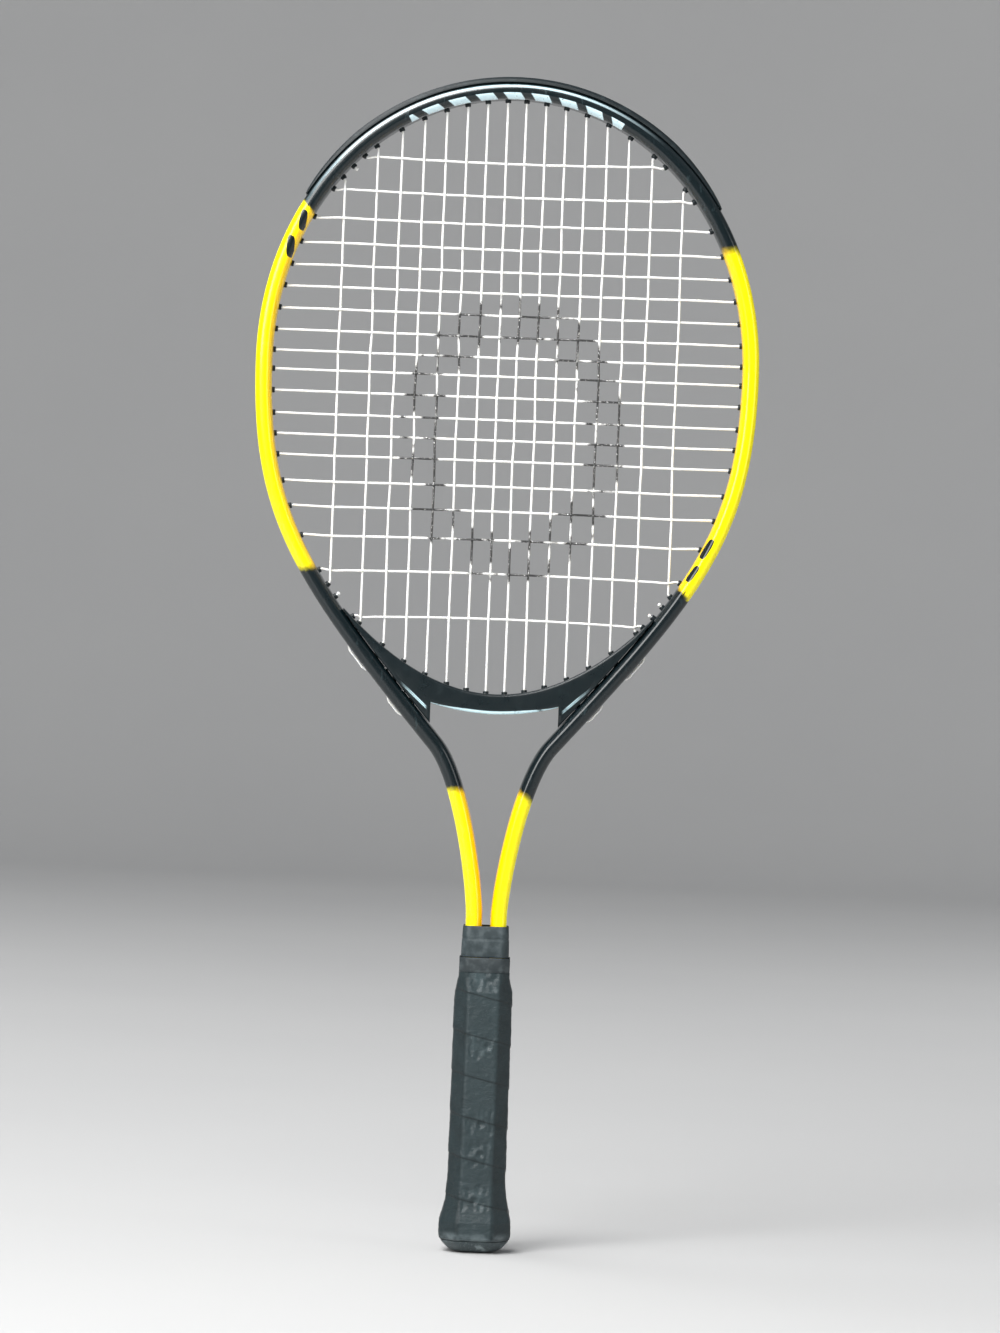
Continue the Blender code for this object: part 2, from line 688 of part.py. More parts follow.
def make_grommets(name, path, stations, section, holes):
    """A strip or guard with a barrel at each hole, bored for the string."""
    rings = swept(path, stations, section)
    strip = new_object(name, loft_mesh(name, [(rings, False)]), "moulded_black")
    barrels, bores = [], []
    for hole in holes:
        barrels.append((prism(hole.mouth, hole.base, BARREL_RADIUS), False))
        start = hole.mouth - hole.axis * MM
        bores.append((prism(start, hole.point_at(LANE_LEVEL), BORE_RADIUS), False))
    combine(strip, cutter(name + "_barrels", barrels), "UNION")
    combine(strip, cutter(name + "_bores", bores), "DIFFERENCE")
    return strip


def make_all_grommets(bed):
    """The bumper guard, the two side strips and the bridge's own strip."""
    hoop = bed.hoop
    start, end = bumper_range(bed)
    top = [hole for hole in bed.hoop_holes() if start < hole.s < end]
    stations = hoop.between(start, end)
    section = bumper_section(bed)
    make_grommets("bumper_guard", hoop, stations, section, top)
    for side, name in ((-1, "grommet_strip_left"), (1, "grommet_strip_right")):
        holes = [h for h in bed.hoop_holes() if h not in top and h.base[0] * side > 0]
        lowest = min(holes, key=lambda hole: hole.base[1])
        if side < 0:
            stations = hoop.between(lowest.s - STRIP_END_PAST_HOLE, start - CLEARANCE)
        else:
            stations = hoop.between(end + CLEARANCE, lowest.s + STRIP_END_PAST_HOLE)
        strip = make_grommets(name, hoop, stations, strip_section(), holes)
        combine(strip, cutter(name + "_relief", rivet_drills(bed)), "DIFFERENCE")
    holes = bed.bridge_holes()
    middle = bed.under.length / 2
    spread = max(abs(hole.bend[0]) for hole in holes) + 2.7 * MM
    stations = np.linspace(middle - spread, middle + spread, 9)
    make_grommets("bridge_grommet_strip", bed.under, stations, strip_section(), holes)


# ---------------------------------------------------------------- strings


def cord_rings(points, radii, sides=5):
    """Rings of a cord through the points, turned as little as possible from one to the next."""
    points = [Vector(point) for point in points]
    rings = []
    side = None
    for k, point in enumerate(points):
        before = points[max(k - 1, 0)]
        after = points[min(k + 1, len(points) - 1)]
        ahead = (after - point).normalized() + (point - before).normalized()
        ahead.normalize()
        if side is None:
            side = ahead.orthogonal()
        side = (side - ahead * side.dot(ahead)).normalized()
        other = ahead.cross(side)
        ring = []
        for m in range(sides):
            angle = 2 * math.pi * m / sides
            ring.append(point + (side * math.cos(angle) + other * math.sin(angle)) * radii[k])
        rings.append(ring)
    return rings


def loop_points(first, second, lane):
    """The cord outside the hoop or under the bridge, from one hole's exit to the next."""
    path = first.path
    sign = 1 if second.s > first.s else -1
    span = abs(second.s - first.s)
    settle = min(LOOP_SETTLE, 0.3 * span)
    steps = max(1, math.ceil((span - 2 * settle) / LOOP_STEP))
    places = [(LOOP_CORNER, 0.4 * lane)]
    for k in range(steps + 1):
        places.append((settle + (span - 2 * settle) * k / steps, lane))
    places.append((span - LOOP_CORNER, 0.4 * lane))
    points = []
    for hole, ahead in ((first, True), (second, False)):
        x, z = hole.point_at(LANE_LEVEL - 1.0 * MM)
        if not ahead:
            for along, y in places:
                flat = path.at(first.s + sign * along, LANE_LEVEL)
                points.append((flat[0], y, flat[1]))
        points.append((x, 0, z))
    return points


def knot_points(hole, toward_bed):
    """The last of a tail: out of its barrel into a small knot. Points with their radii."""
    radius = STRING_DIAMETER / 2
    ends = []
    for along, swell in KNOT:
        x, z = hole.mouth - hole.axis * along * MM
        ends.append(((x, 0, z), radius * swell))
    return ends if toward_bed else ends[::-1]


def woven(bed, row):
    """The crossings of a cross string with the main strings, left to right, as (x, y)."""
    z = bed.cross_z[row]
    left, right = bed.cross_lefts[row].bend[0], bed.cross_rights[row].bend[0]
    lift = STRING_DIAMETER + CLEARANCE
    flat = STRING_DIAMETER
    crossings = []
    for column, x in enumerate(bed.main_x):
        high, low = bed.main_tops[column].bend[1], bed.main_bottoms[column].bend[1]
        if not (left + flat < x < right - flat and low - flat < z < high + flat):
            continue
        side = lift if (row + column) % 2 else -lift
        crossings.append((x, side))
    if crossings[0][0] - left < 6 * MM:
        crossings.insert(0, (crossings[0][0] - flat, crossings[0][1]))
    if right - crossings[-1][0] < 6 * MM:
        crossings.append((crossings[-1][0] + flat, crossings[-1][1]))
    return [(x, y, z) for x, y in crossings]


def flat_point(point):
    """An XZ point in the string plane."""
    return (point[0], 0, point[1])


def make_string(name, runs, pairs, knots, lane):
    """A continuous cord: runs are the stretches across the bed, pairs the (entry, exit) holes."""
    radius = STRING_DIAMETER / 2
    start = knot_points(knots[0], False)
    points = [point for point, _ in start]
    radii = [size for _, size in start]
    points += loop_points(knots[0], pairs[0][0], lane)
    for k, run in enumerate(runs):
        points += [flat_point(pairs[k][0].bend)] + run + [flat_point(pairs[k][1].bend)]
        after = knots[1] if k + 1 == len(runs) else pairs[k + 1][0]
        points += loop_points(pairs[k][1], after, lane)
    radii += [radius] * (len(points) - len(radii))
    for point, size in knot_points(knots[1], True):
        points.append(point)
        radii.append(size)
    return new_object(name, loft_mesh(name, [(cord_rings(points, radii), False)]), "string")


def make_strings(bed):
    """The main string up and down the head and the cross string woven over and under it."""
    pairs = []
    for column in range(len(bed.main_x)):
        ends = (bed.main_bottoms[column], bed.main_tops[column])
        pairs.append(ends if column % 2 == 0 else ends[::-1])
    make_string("main_string", [[] for _ in pairs], pairs, bed.main_knots, -LANE)
    pairs, runs = [], []
    for row in range(len(bed.cross_z)):
        ends = (bed.cross_lefts[row], bed.cross_rights[row])
        run = woven(bed, row)
        pairs.append(ends if row % 2 == 0 else ends[::-1])
        runs.append(run if row % 2 == 0 else run[::-1])
    make_string("cross_string", runs, pairs, bed.cross_knots, LANE)


# ---------------------------------------------------------------- handle


def octagon(half_width, half_depth, bevel, z):
    """The eight corners of a handle section."""
    w, d, b = half_width, half_depth, bevel
    corners = [(w, -d + b), (w, d - b), (w - b, d), (-w + b, d)]
    corners += [(-x, -y) for x, y in corners]
    return [Vector((x, y, z)) for x, y in corners]


def sleeve(name, outside, inside, finish_name):
    """A sleeve open at both ends, from rings outside and inside, bottom to top."""
    return new_object(name, loft_mesh(name, [(outside + inside[::-1], True)]), finish_name)


def make_pallets():
    """The two halves that fill the handle out round the shafts, with a rib between the shafts."""
    room_x, room_y, rib_x = SHAFT_ROOM, SHAFT_ROOM_DEPTH, RIB_HALF_WIDTH
    corner = ((room_x, 0.75 * room_y), (room_x - 0.25 * TUBE_WIDTH, room_y))
    parting = CLEARANCE / 2
    levels = (
        (PALLET_BOTTOM_Z, PALLET_HALF_WIDTH),
        (SHOULDER_Z, PALLET_HALF_WIDTH),
        (NECK_Z, NECK_HALF_WIDTH),
        (PALLET_TOP_Z, NECK_HALF_WIDTH),
    )
    for side, name in ((-1, "pallet_front"), (1, "pallet_back")):
        rings = []
        for z, w in levels:
            d, b = handle_depth(w), section_bevel(w)
            outside = [(w, parting), (w, d - b), (w - b, d)]
            room = [(rib_x, parting), (rib_x, room_y), corner[1], corner[0], (room_x, parting)]
            right = room + outside
            outline = right + [(-x, y) for x, y in reversed(right)]
            rings.append([Vector((x, side * y, z)) for x, y in outline])
        pallet = new_object(name, loft_mesh(name, [(rings, False)]), "pallet_foam")
        holes = [(staple_hole(end), False) for end in (-1, 1)]
        combine(pallet, cutter(name + "_staple_holes", holes), "DIFFERENCE")


def staple_hole(end):
    """A slot for the two legs of the staple on that side, through cap and pallets."""
    half = STAPLE_WIDTH / 2 + CLEARANCE
    high = STAPLE_WIRE / 2 + CLEARANCE
    rings = []
    for x in (SHAFT_SPACING / 2, PALLET_HALF_WIDTH + 2 * CAP_FLARE):
        corners = ((-half, -high), (half, -high), (half, high), (-half, high))
        rings.append([Vector((end * x, y, STAPLE_Z + z)) for y, z in corners])
    return rings


def handle_depth(half_width):
    """The half depth of the pallets where they have that half width."""
    return half_width - (PALLET_HALF_WIDTH - PALLET_HALF_DEPTH)


def section_bevel(half_width):
    """The corner bevel of the pallets where they have that half width."""
    share = (PALLET_HALF_WIDTH - half_width) / (PALLET_HALF_WIDTH - NECK_HALF_WIDTH)
    return PALLET_BEVEL + (NECK_BEVEL - PALLET_BEVEL) * share


def handle_ring(z, half_width, grow=0):
    """The pallets' section at that half width, grown outward by the same amount all round."""
    bevel = section_bevel(half_width) + (2 - math.sqrt(2)) * grow
    return octagon(half_width + grow, handle_depth(half_width) + grow, bevel, z)


def cap_profile():
    """(z, how far it stands out from the pallets) of the butt cap, from the flat end up."""
    toe = [(z * MM, CAP_FLARE - inset * MM) for z, inset in CAP_TOE]
    lip = [(CAP_LIP_Z, CAP_FLARE + CAP_LIP_PROUD), (CAP_LIP_Z, CAP_FLARE - CAP_STEP)]
    cone = [(z, CAP_FLARE) for z in (CAP_FLARE_Z, CAP_TAPER_Z)]
    cone.append((CAP_HEIGHT, CLEARANCE + CAP_WALL))
    return toe + lip + cone


def make_cap():
    """The butt cap: a cup that the pallets stand in, flared at its lower end."""
    rings = [handle_ring(z, PALLET_HALF_WIDTH, grow) for z, grow in cap_profile()]
    for z in (CAP_HEIGHT, CAP_FLOOR):
        rings.append(handle_ring(z, PALLET_HALF_WIDTH, CLEARANCE))
    cap = new_object("butt_cap", loft_mesh("butt_cap", [(rings, False)]), "cap_plastic")
    holes = [(staple_hole(end), False) for end in (-1, 1)]
    combine(cap, cutter("cap_staple_holes", holes), "DIFFERENCE")
    return cap


def make_staples():
    """A wire staple on each side, through the cap into the edges of the pallets."""
    half = STAPLE_WIDTH / 2
    wire = STAPLE_WIRE / 2
    outer = PALLET_HALF_WIDTH + CAP_FLARE - STAPLE_SUNK
    inner = SHAFT_ROOM + CLEARANCE
    for end, name in ((-1, "cap_staple_left"), (1, "cap_staple_right")):
        outline = [(inner, -half), (outer, -half), (outer, half), (inner, half)]
        outline += [(inner, half - 2 * wire), (outer - 2 * wire, half - 2 * wire)]
        outline += [(outer - 2 * wire, -half + 2 * wire), (inner, -half + 2 * wire)]
        rings = []
        for z in (STAPLE_Z - wire, STAPLE_Z + wire):
            rings.append([Vector((end * x, y, z)) for x, y in outline])
        new_object(name, loft_mesh(name, [(rings, False)]), "bare_rivet")


def make_tape():
    """The wound grip as one sleeve over cap and pallets, from the cap's lip to under the band."""
    lie = TAPE_THICKNESS + CLEARANCE
    skived = CLEARANCE + SKIVED_THICKNESS
    full, neck = PALLET_HALF_WIDTH, NECK_HALF_WIDTH
    top_z = BAND_LOW_Z + BAND_OVER_TAPE
    shelf_z = BAND_LOW_Z - CLEARANCE
    foot_z = CAP_LIP_Z + CLEARANCE
    _, foot_grow = cap_profile()[-4]
    cone = cap_profile()[-3:]
    inside = [(foot_z, full, foot_grow + CLEARANCE)]
    inside += [(z, full, grow + CLEARANCE) for z, grow in cone]
    inside += [(CAP_HEIGHT + CLEARANCE, full, CLEARANCE), (SHOULDER_Z, full, CLEARANCE)]
    inside += [(NECK_Z, neck, CLEARANCE), (top_z, neck, CLEARANCE)]
    outside = [(foot_z, full, foot_grow + lie)]
    outside += [(z, full, grow + lie) for z, grow in cone[:2]]
    outside += [(z * MM, full, swell * MM + lie) for z, swell in TAPE_SWELLS]
    outside += [(SHOULDER_Z, full, lie), (NECK_Z, neck, skived + TAPE_END)]
    outside += [(shelf_z, neck, skived + TAPE_END), (shelf_z, neck, skived)]
    outside += [(top_z, neck, skived)]
    rings = [[handle_ring(*level) for level in side] for side in (outside, inside)]
    return sleeve("grip_tape", rings[0], rings[1], "grip_tape")


def make_band():
    """The finishing band round the tape's upper end, just under the collar."""
    inner = SKIVED_THICKNESS + 2 * CLEARANCE
    levels = (BAND_LOW_Z, PALLET_TOP_Z)
    outside = [handle_ring(z, NECK_HALF_WIDTH, inner + BAND_THICKNESS) for z in levels]
    inside = [handle_ring(z, NECK_HALF_WIDTH, inner) for z in levels]
    return sleeve("finishing_band", outside, inside, "rubber")


def make_collar():
    """The rubber collar over the handle's top, with a groove round its middle."""
    depth = SHAFT_ROOM_DEPTH
    outside, inside = [], []
    for share, swell in COLLAR_SWELLS:
        z = COLLAR_BOTTOM_Z + COLLAR_HEIGHT * share
        wall = COLLAR_WALL + swell * MM
        bevel = COLLAR_BEVEL + (2 - math.sqrt(2)) * wall
        outside.append(octagon(SHAFT_ROOM + wall, depth + wall, bevel, z))
    for z in (COLLAR_BOTTOM_Z, HANDLE_LENGTH):
        inside.append(octagon(SHAFT_ROOM, depth, COLLAR_BEVEL, z))
    return sleeve("rubber_collar", outside, inside, "rubber")


def main():
    clear_scene()
    hoop = hoop_path()
    bed = StringBed(hoop)
    make_hoop(bed)
    make_bridge(bed)
    make_rivets(bed)
    make_all_grommets(bed)
    make_strings(bed)
    make_pallets()
    make_cap()
    make_staples()
    make_tape()
    make_band()
    make_collar()


main()
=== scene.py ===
"""Tennis racket with a two-colour tubular hoop: fine surfaces, finishes, light and camera.

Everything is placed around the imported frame, in metres: +Z up the handle, the string bed in
the XZ plane and the front face toward -Y.
"""

import logging
import math
from dataclasses import dataclass
from enum import Enum
from typing import Callable, Iterable, Sequence, Union

import bmesh
import bpy
import numpy as np
from mathutils import Matrix, Vector, noise


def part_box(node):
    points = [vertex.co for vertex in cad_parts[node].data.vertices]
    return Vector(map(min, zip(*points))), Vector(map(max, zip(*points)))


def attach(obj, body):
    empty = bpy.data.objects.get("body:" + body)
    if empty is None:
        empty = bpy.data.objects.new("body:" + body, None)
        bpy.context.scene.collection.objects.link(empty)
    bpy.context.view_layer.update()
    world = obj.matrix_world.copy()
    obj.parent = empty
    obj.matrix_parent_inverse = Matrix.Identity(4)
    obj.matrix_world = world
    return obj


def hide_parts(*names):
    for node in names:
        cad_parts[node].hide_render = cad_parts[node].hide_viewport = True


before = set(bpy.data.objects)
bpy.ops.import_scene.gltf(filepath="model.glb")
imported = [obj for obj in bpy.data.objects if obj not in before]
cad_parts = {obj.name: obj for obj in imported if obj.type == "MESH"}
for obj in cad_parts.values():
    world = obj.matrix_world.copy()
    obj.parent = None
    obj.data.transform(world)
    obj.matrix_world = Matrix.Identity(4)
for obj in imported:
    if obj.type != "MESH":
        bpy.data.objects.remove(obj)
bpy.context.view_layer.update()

MM = 0.001
TINY = 1e-12
EDGE_PLAY = 1e-6
SAME_PLACE = 0.05 * MM
MOST_CUT = 0.45
LOG = logging.getLogger("racket")

Socket = bpy.types.NodeSocket
Input = Union[Socket, float, Sequence[float]]


class Slot(Enum):
    """The record's material slots for the pieces made here."""

    PAINT = "painted_aluminium"
    MOULDED = "moulded_black"
    STRING = "string"
    CAP = "cap_plastic"
    TAPE = "grip_tape"
    RUBBER = "rubber"


# ------------------------------------------------------------------ lines and meshes


def bezier(points: Sequence[np.ndarray], count: int = 400) -> np.ndarray:
    """Points on a cubic Bezier curve.

    Args:
        points: Its four control points.
        count: How many points to give, without the last.

    Returns:
        The points, one to a row.
    """
    a, b, c, d = (np.asarray(point, float) for point in points)
    t = np.linspace(0, 1, count, endpoint=False)[:, None]
    return (1 - t) ** 3 * a + 3 * (1 - t) ** 2 * t * b + 3 * (1 - t) * t * t * c + t**3 * d


def unit(vector: np.ndarray) -> np.ndarray:
    """Gives the vector at length one."""
    return vector / np.linalg.norm(vector)


def ease(value: float, low: float, high: float) -> float:
    """Gives 0 below low, 1 above high, and a smooth step between them."""
    t = min(1.0, max(0.0, (value - low) / (high - low)))
    return t * t * (3 - 2 * t)


class EdgeLine:
    """A smooth line in the string plane with an outward side."""

    def __init__(self, points: np.ndarray, surface: float) -> None:
        """Measures the line.

        Args:
            points: Its (x, z) points, from the left end to the right end.
            surface: How far outside the points level 0 is.
        """
        steps = np.diff(points, axis=0)
        tangents = np.gradient(points, axis=0)
        tangents /= np.linalg.norm(tangents, axis=1)[:, None]
        self.points = points
        self.surface = surface
        self.s = np.concatenate([[0.0], np.cumsum(np.hypot(steps[:, 0], steps[:, 1]))])
        self.normals = np.stack([-tangents[:, 1], tangents[:, 0]], axis=1)
        self.length = float(self.s[-1])

    def at(self, s: float, level: float) -> np.ndarray:
        """Gives the (x, z) point that far along the line and that far outside level 0."""
        place = np.array([np.interp(s, self.s, self.points[:, k]) for k in (0, 1)])
        return place + self.normal(s) * (self.surface + level)

    def ring(self, s: float, section: np.ndarray) -> list[tuple[float, float, float]]:
        """Sets a section of (level, y) points up across the line at s."""
        flat, out = self.at(s, 0), self.normal(s)
        return [(flat[0] + out[0] * v, y, flat[1] + out[1] * v) for v, y in section]

    def normal(self, s: float) -> np.ndarray:
        """Gives the outward direction at s."""
        return unit(np.array([np.interp(s, self.s, self.normals[:, k]) for k in (0, 1)]))

    def meet(self, origin: np.ndarray, direction: np.ndarray, level: float) -> tuple[float, float]:
        """Finds where a ray first meets the line at a level.

        Args:
            origin: The ray's (x, z) start.
            direction: Its direction, of length one.
            level: How far outside level 0 the line is taken.

        Returns:
            How far along the line and how far along the ray, or infinity for both.
        """
        offset = self.points + self.normals * (self.surface + level)
        start, along = offset[:-1], np.diff(offset, axis=0)
        cross = direction[0] * along[:, 1] - direction[1] * along[:, 0]
        cross = np.where(np.abs(cross) < TINY, TINY, cross)
        gap = start - origin
        t = (gap[:, 0] * along[:, 1] - gap[:, 1] * along[:, 0]) / cross
        f = (gap[:, 0] * direction[1] - gap[:, 1] * direction[0]) / cross
        hits = np.nonzero((t > 0) & (f >= -EDGE_PLAY) & (f <= 1 + EDGE_PLAY))[0]
        if not len(hits):
            return math.inf, math.inf
        k = hits[np.argmin(t[hits])]
        return float(self.s[k] + f[k] * (self.s[k + 1] - self.s[k])), float(t[k])

    def stations(self, start: float, end: float, step: float) -> np.ndarray:
        """Gives evenly spaced places from start to end, about a step apart."""
        return np.linspace(start, end, max(2, int(math.ceil(abs(end - start) / step)) + 1))

    def s_at_height(self, z: float, side: int) -> float:
        """Finds where the line passes a height on one side.

        Args:
            z: The height.
            side: -1 for left of the middle, 1 for right.

        Returns:
            The place along the line, nearest to its middle.
        """
        rows = np.nonzero((self.points[:, 0] * side > 0) & (self.points[:, 1] > z))[0]
        return float(self.s[rows[-1] if side > 0 else rows[0]])


class Shape:
    """Points and faces gathered for one piece."""

    def __init__(self) -> None:
        """Starts an empty shape."""
        self.points: list[np.ndarray] = []
        self.faces: list[tuple[int, ...]] = []
        self.values: dict[str, list[np.ndarray]] = {}
        self.count = 0

    def loft(
        self,
        rings: Sequence[np.ndarray],
        capped: bool = True,
        looped: bool = False,
        **values: np.ndarray,
    ) -> None:
        """Adds a skin over rings of points.

        Args:
            rings: The rings, each with the same number of points.
            capped: Whether the first and last ring are filled in.
            looped: Whether the last ring joins the first.
            values: Named numbers, one to each point, kept on the mesh.
        """
        grid = np.asarray(rings, float)
        rows, columns = grid.shape[:2]
        base = self.count
        self.points.append(grid.reshape(-1, 3))
        for name, numbers in values.items():
            self.values.setdefault(name, []).append(np.asarray(numbers, float).reshape(-1))
        self.count += rows * columns
        for i in range(rows if looped else rows - 1):
            low, high = base + i * columns, base + ((i + 1) % rows) * columns
            for k in range(columns):
                m = (k + 1) % columns
                self.faces.append((low + k, low + m, high + m, high + k))
        if capped and not looped:
            self.faces.append(tuple(range(base + columns - 1, base - 1, -1)))
            self.faces.append(tuple(range(base + (rows - 1) * columns, base + rows * columns)))

    def build(
        self,
        name: str,
        material: bpy.types.Material,
        slot: Slot,
        nodes: Iterable[str] = (),
        sharp: float = 50,
    ) -> bpy.types.Object:
        """Makes the piece and ties it to the frame.

        Args:
            name: The piece's name.
            material: Its finish.
            slot: Not used; the record's slot that the finish stands for.
            nodes: The CAD nodes that it replaces.
            sharp: Edges that turn by more degrees than this stay sharp.

        Returns:
            The new object.
        """
        mesh = bpy.data.meshes.new(name)
        mesh.from_pydata(np.concatenate(self.points).tolist(), [], self.faces)
        for key, numbers in self.values.items():
            layer = mesh.attributes.new(key, "FLOAT", "POINT")
            layer.data.foreach_set("value", np.concatenate(numbers).astype(np.float32))
        shape = bmesh.new()
        shape.from_mesh(mesh)
        bmesh.ops.recalc_face_normals(shape, faces=shape.faces)
        shape.to_mesh(mesh)
        shape.free()
        mesh.shade_smooth()
        mesh.set_sharp_from_angle(angle=math.radians(sharp))
        mesh.materials.append(material)
        piece = bpy.data.objects.new(name, mesh)
        bpy.context.scene.collection.objects.link(piece)
        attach(piece, "root")
        for node in nodes:
            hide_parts(node)
        LOG.info("%s: %d points, %d faces", name, len(mesh.vertices), len(mesh.polygons))
        return piece


def tube_rings(points: np.ndarray, radii: Sequence[float], sides: int) -> list[np.ndarray]:
    """Makes rings round a path, turned as little as possible from one to the next.

    Args:
        points: The path.
        radii: The radius at each point.
        sides: How many points each ring has.

    Returns:
        The rings.
    """
    tangents = np.gradient(points, axis=0)
    tangents /= np.linalg.norm(tangents, axis=1)[:, None]
    side = unit(np.cross(tangents[0], [0.31, 0.87, 0.38]))
    turns = np.linspace(0, 2 * math.pi, sides, endpoint=False)
    rings = []
    for point, ahead, radius in zip(points, tangents, radii):
        side = unit(side - ahead * side.dot(ahead))
        other = np.cross(ahead, side)
        spokes = np.outer(np.cos(turns), side) + np.outer(np.sin(turns), other)
        rings.append(point + spokes * radius)
    return rings


def spread_curve(points: np.ndarray, step: float) -> np.ndarray:
    """Runs a smooth curve through unevenly spaced points.

    Args:
        points: The points, with any further columns after x, y and z.
        step: About how far apart the new points lie.

    Returns:
        The finer row of points.
    """
    kept = [points[0]]
    for point in points[1:]:
        if np.linalg.norm(point[:3] - kept[-1][:3]) > SAME_PLACE:
            kept.append(point)
    rows = np.array(kept)
    lengths = np.linalg.norm(np.diff(rows[:, :3], axis=0), axis=1)[:, None]
    slopes = np.diff(rows, axis=0) / lengths
    inner = (slopes[:-1] * lengths[1:] + slopes[1:] * lengths[:-1]) / (lengths[:-1] + lengths[1:])
    tangents = np.vstack([slopes[:1], inner, slopes[-1:]])
    fine = []
    for k, span in enumerate(lengths[:, 0]):
        count = max(2, math.ceil(span / step))
        t = np.linspace(0, 1, count, endpoint=False)[:, None]
        fine.append(
            (2 * t**3 - 3 * t**2 + 1) * rows[k]
            + (t**3 - 2 * t**2 + t) * span * tangents[k]
            + (3 * t**2 - 2 * t**3) * rows[k + 1]
            + (t**3 - t**2) * span * tangents[k + 1]
        )
    return np.vstack(fine + [rows[-1:]])


def filleted(corners: Sequence[tuple[float, float, float]], share: int = 5) -> np.ndarray:
    """Rounds the corners of a closed outline.

    Args:
        corners: Each corner as (u, v, how far from it the rounding starts).
        share: How many points each rounded corner gets.

    Returns:
        The outline's points.
    """
    outline = []
    places = [np.array(corner[:2]) for corner in corners]
    for k, (u, v, cut) in enumerate(corners):
        corner = np.array([u, v])
        back, ahead = places[k - 1] - corner, places[(k + 1) % len(places)] - corner
        enter = corner + unit(back) * min(cut, MOST_CUT * np.linalg.norm(back))
        leave = corner + unit(ahead) * min(cut, MOST_CUT * np.linalg.norm(ahead))
        for t in np.linspace(0, 1, share):
            outline.append((1 - t) ** 2 * enter + 2 * t * (1 - t) * corner + t * t * leave)
    return np.array(outline)


def mirrored(half: list[tuple[float, float, float]]) -> list[tuple[float, float, float]]:
    """Closes the front half of an outline, given as (u, y, cut) corners, with its mirror image."""
    return half + [(u, -y, cut) for u, y, cut in reversed(half)]


def skin(rings: Sequence[np.ndarray], **options: object) -> "Shape":
    """Makes a shape of one loft, with the loft's own options.

    Args:
        rings: The rings.
        options: The loft's own options and named numbers.

    Returns:
        The shape.
    """
    shape = Shape()
    shape.loft(rings, **options)
    return shape


# ------------------------------------------------------------------ shader graphs


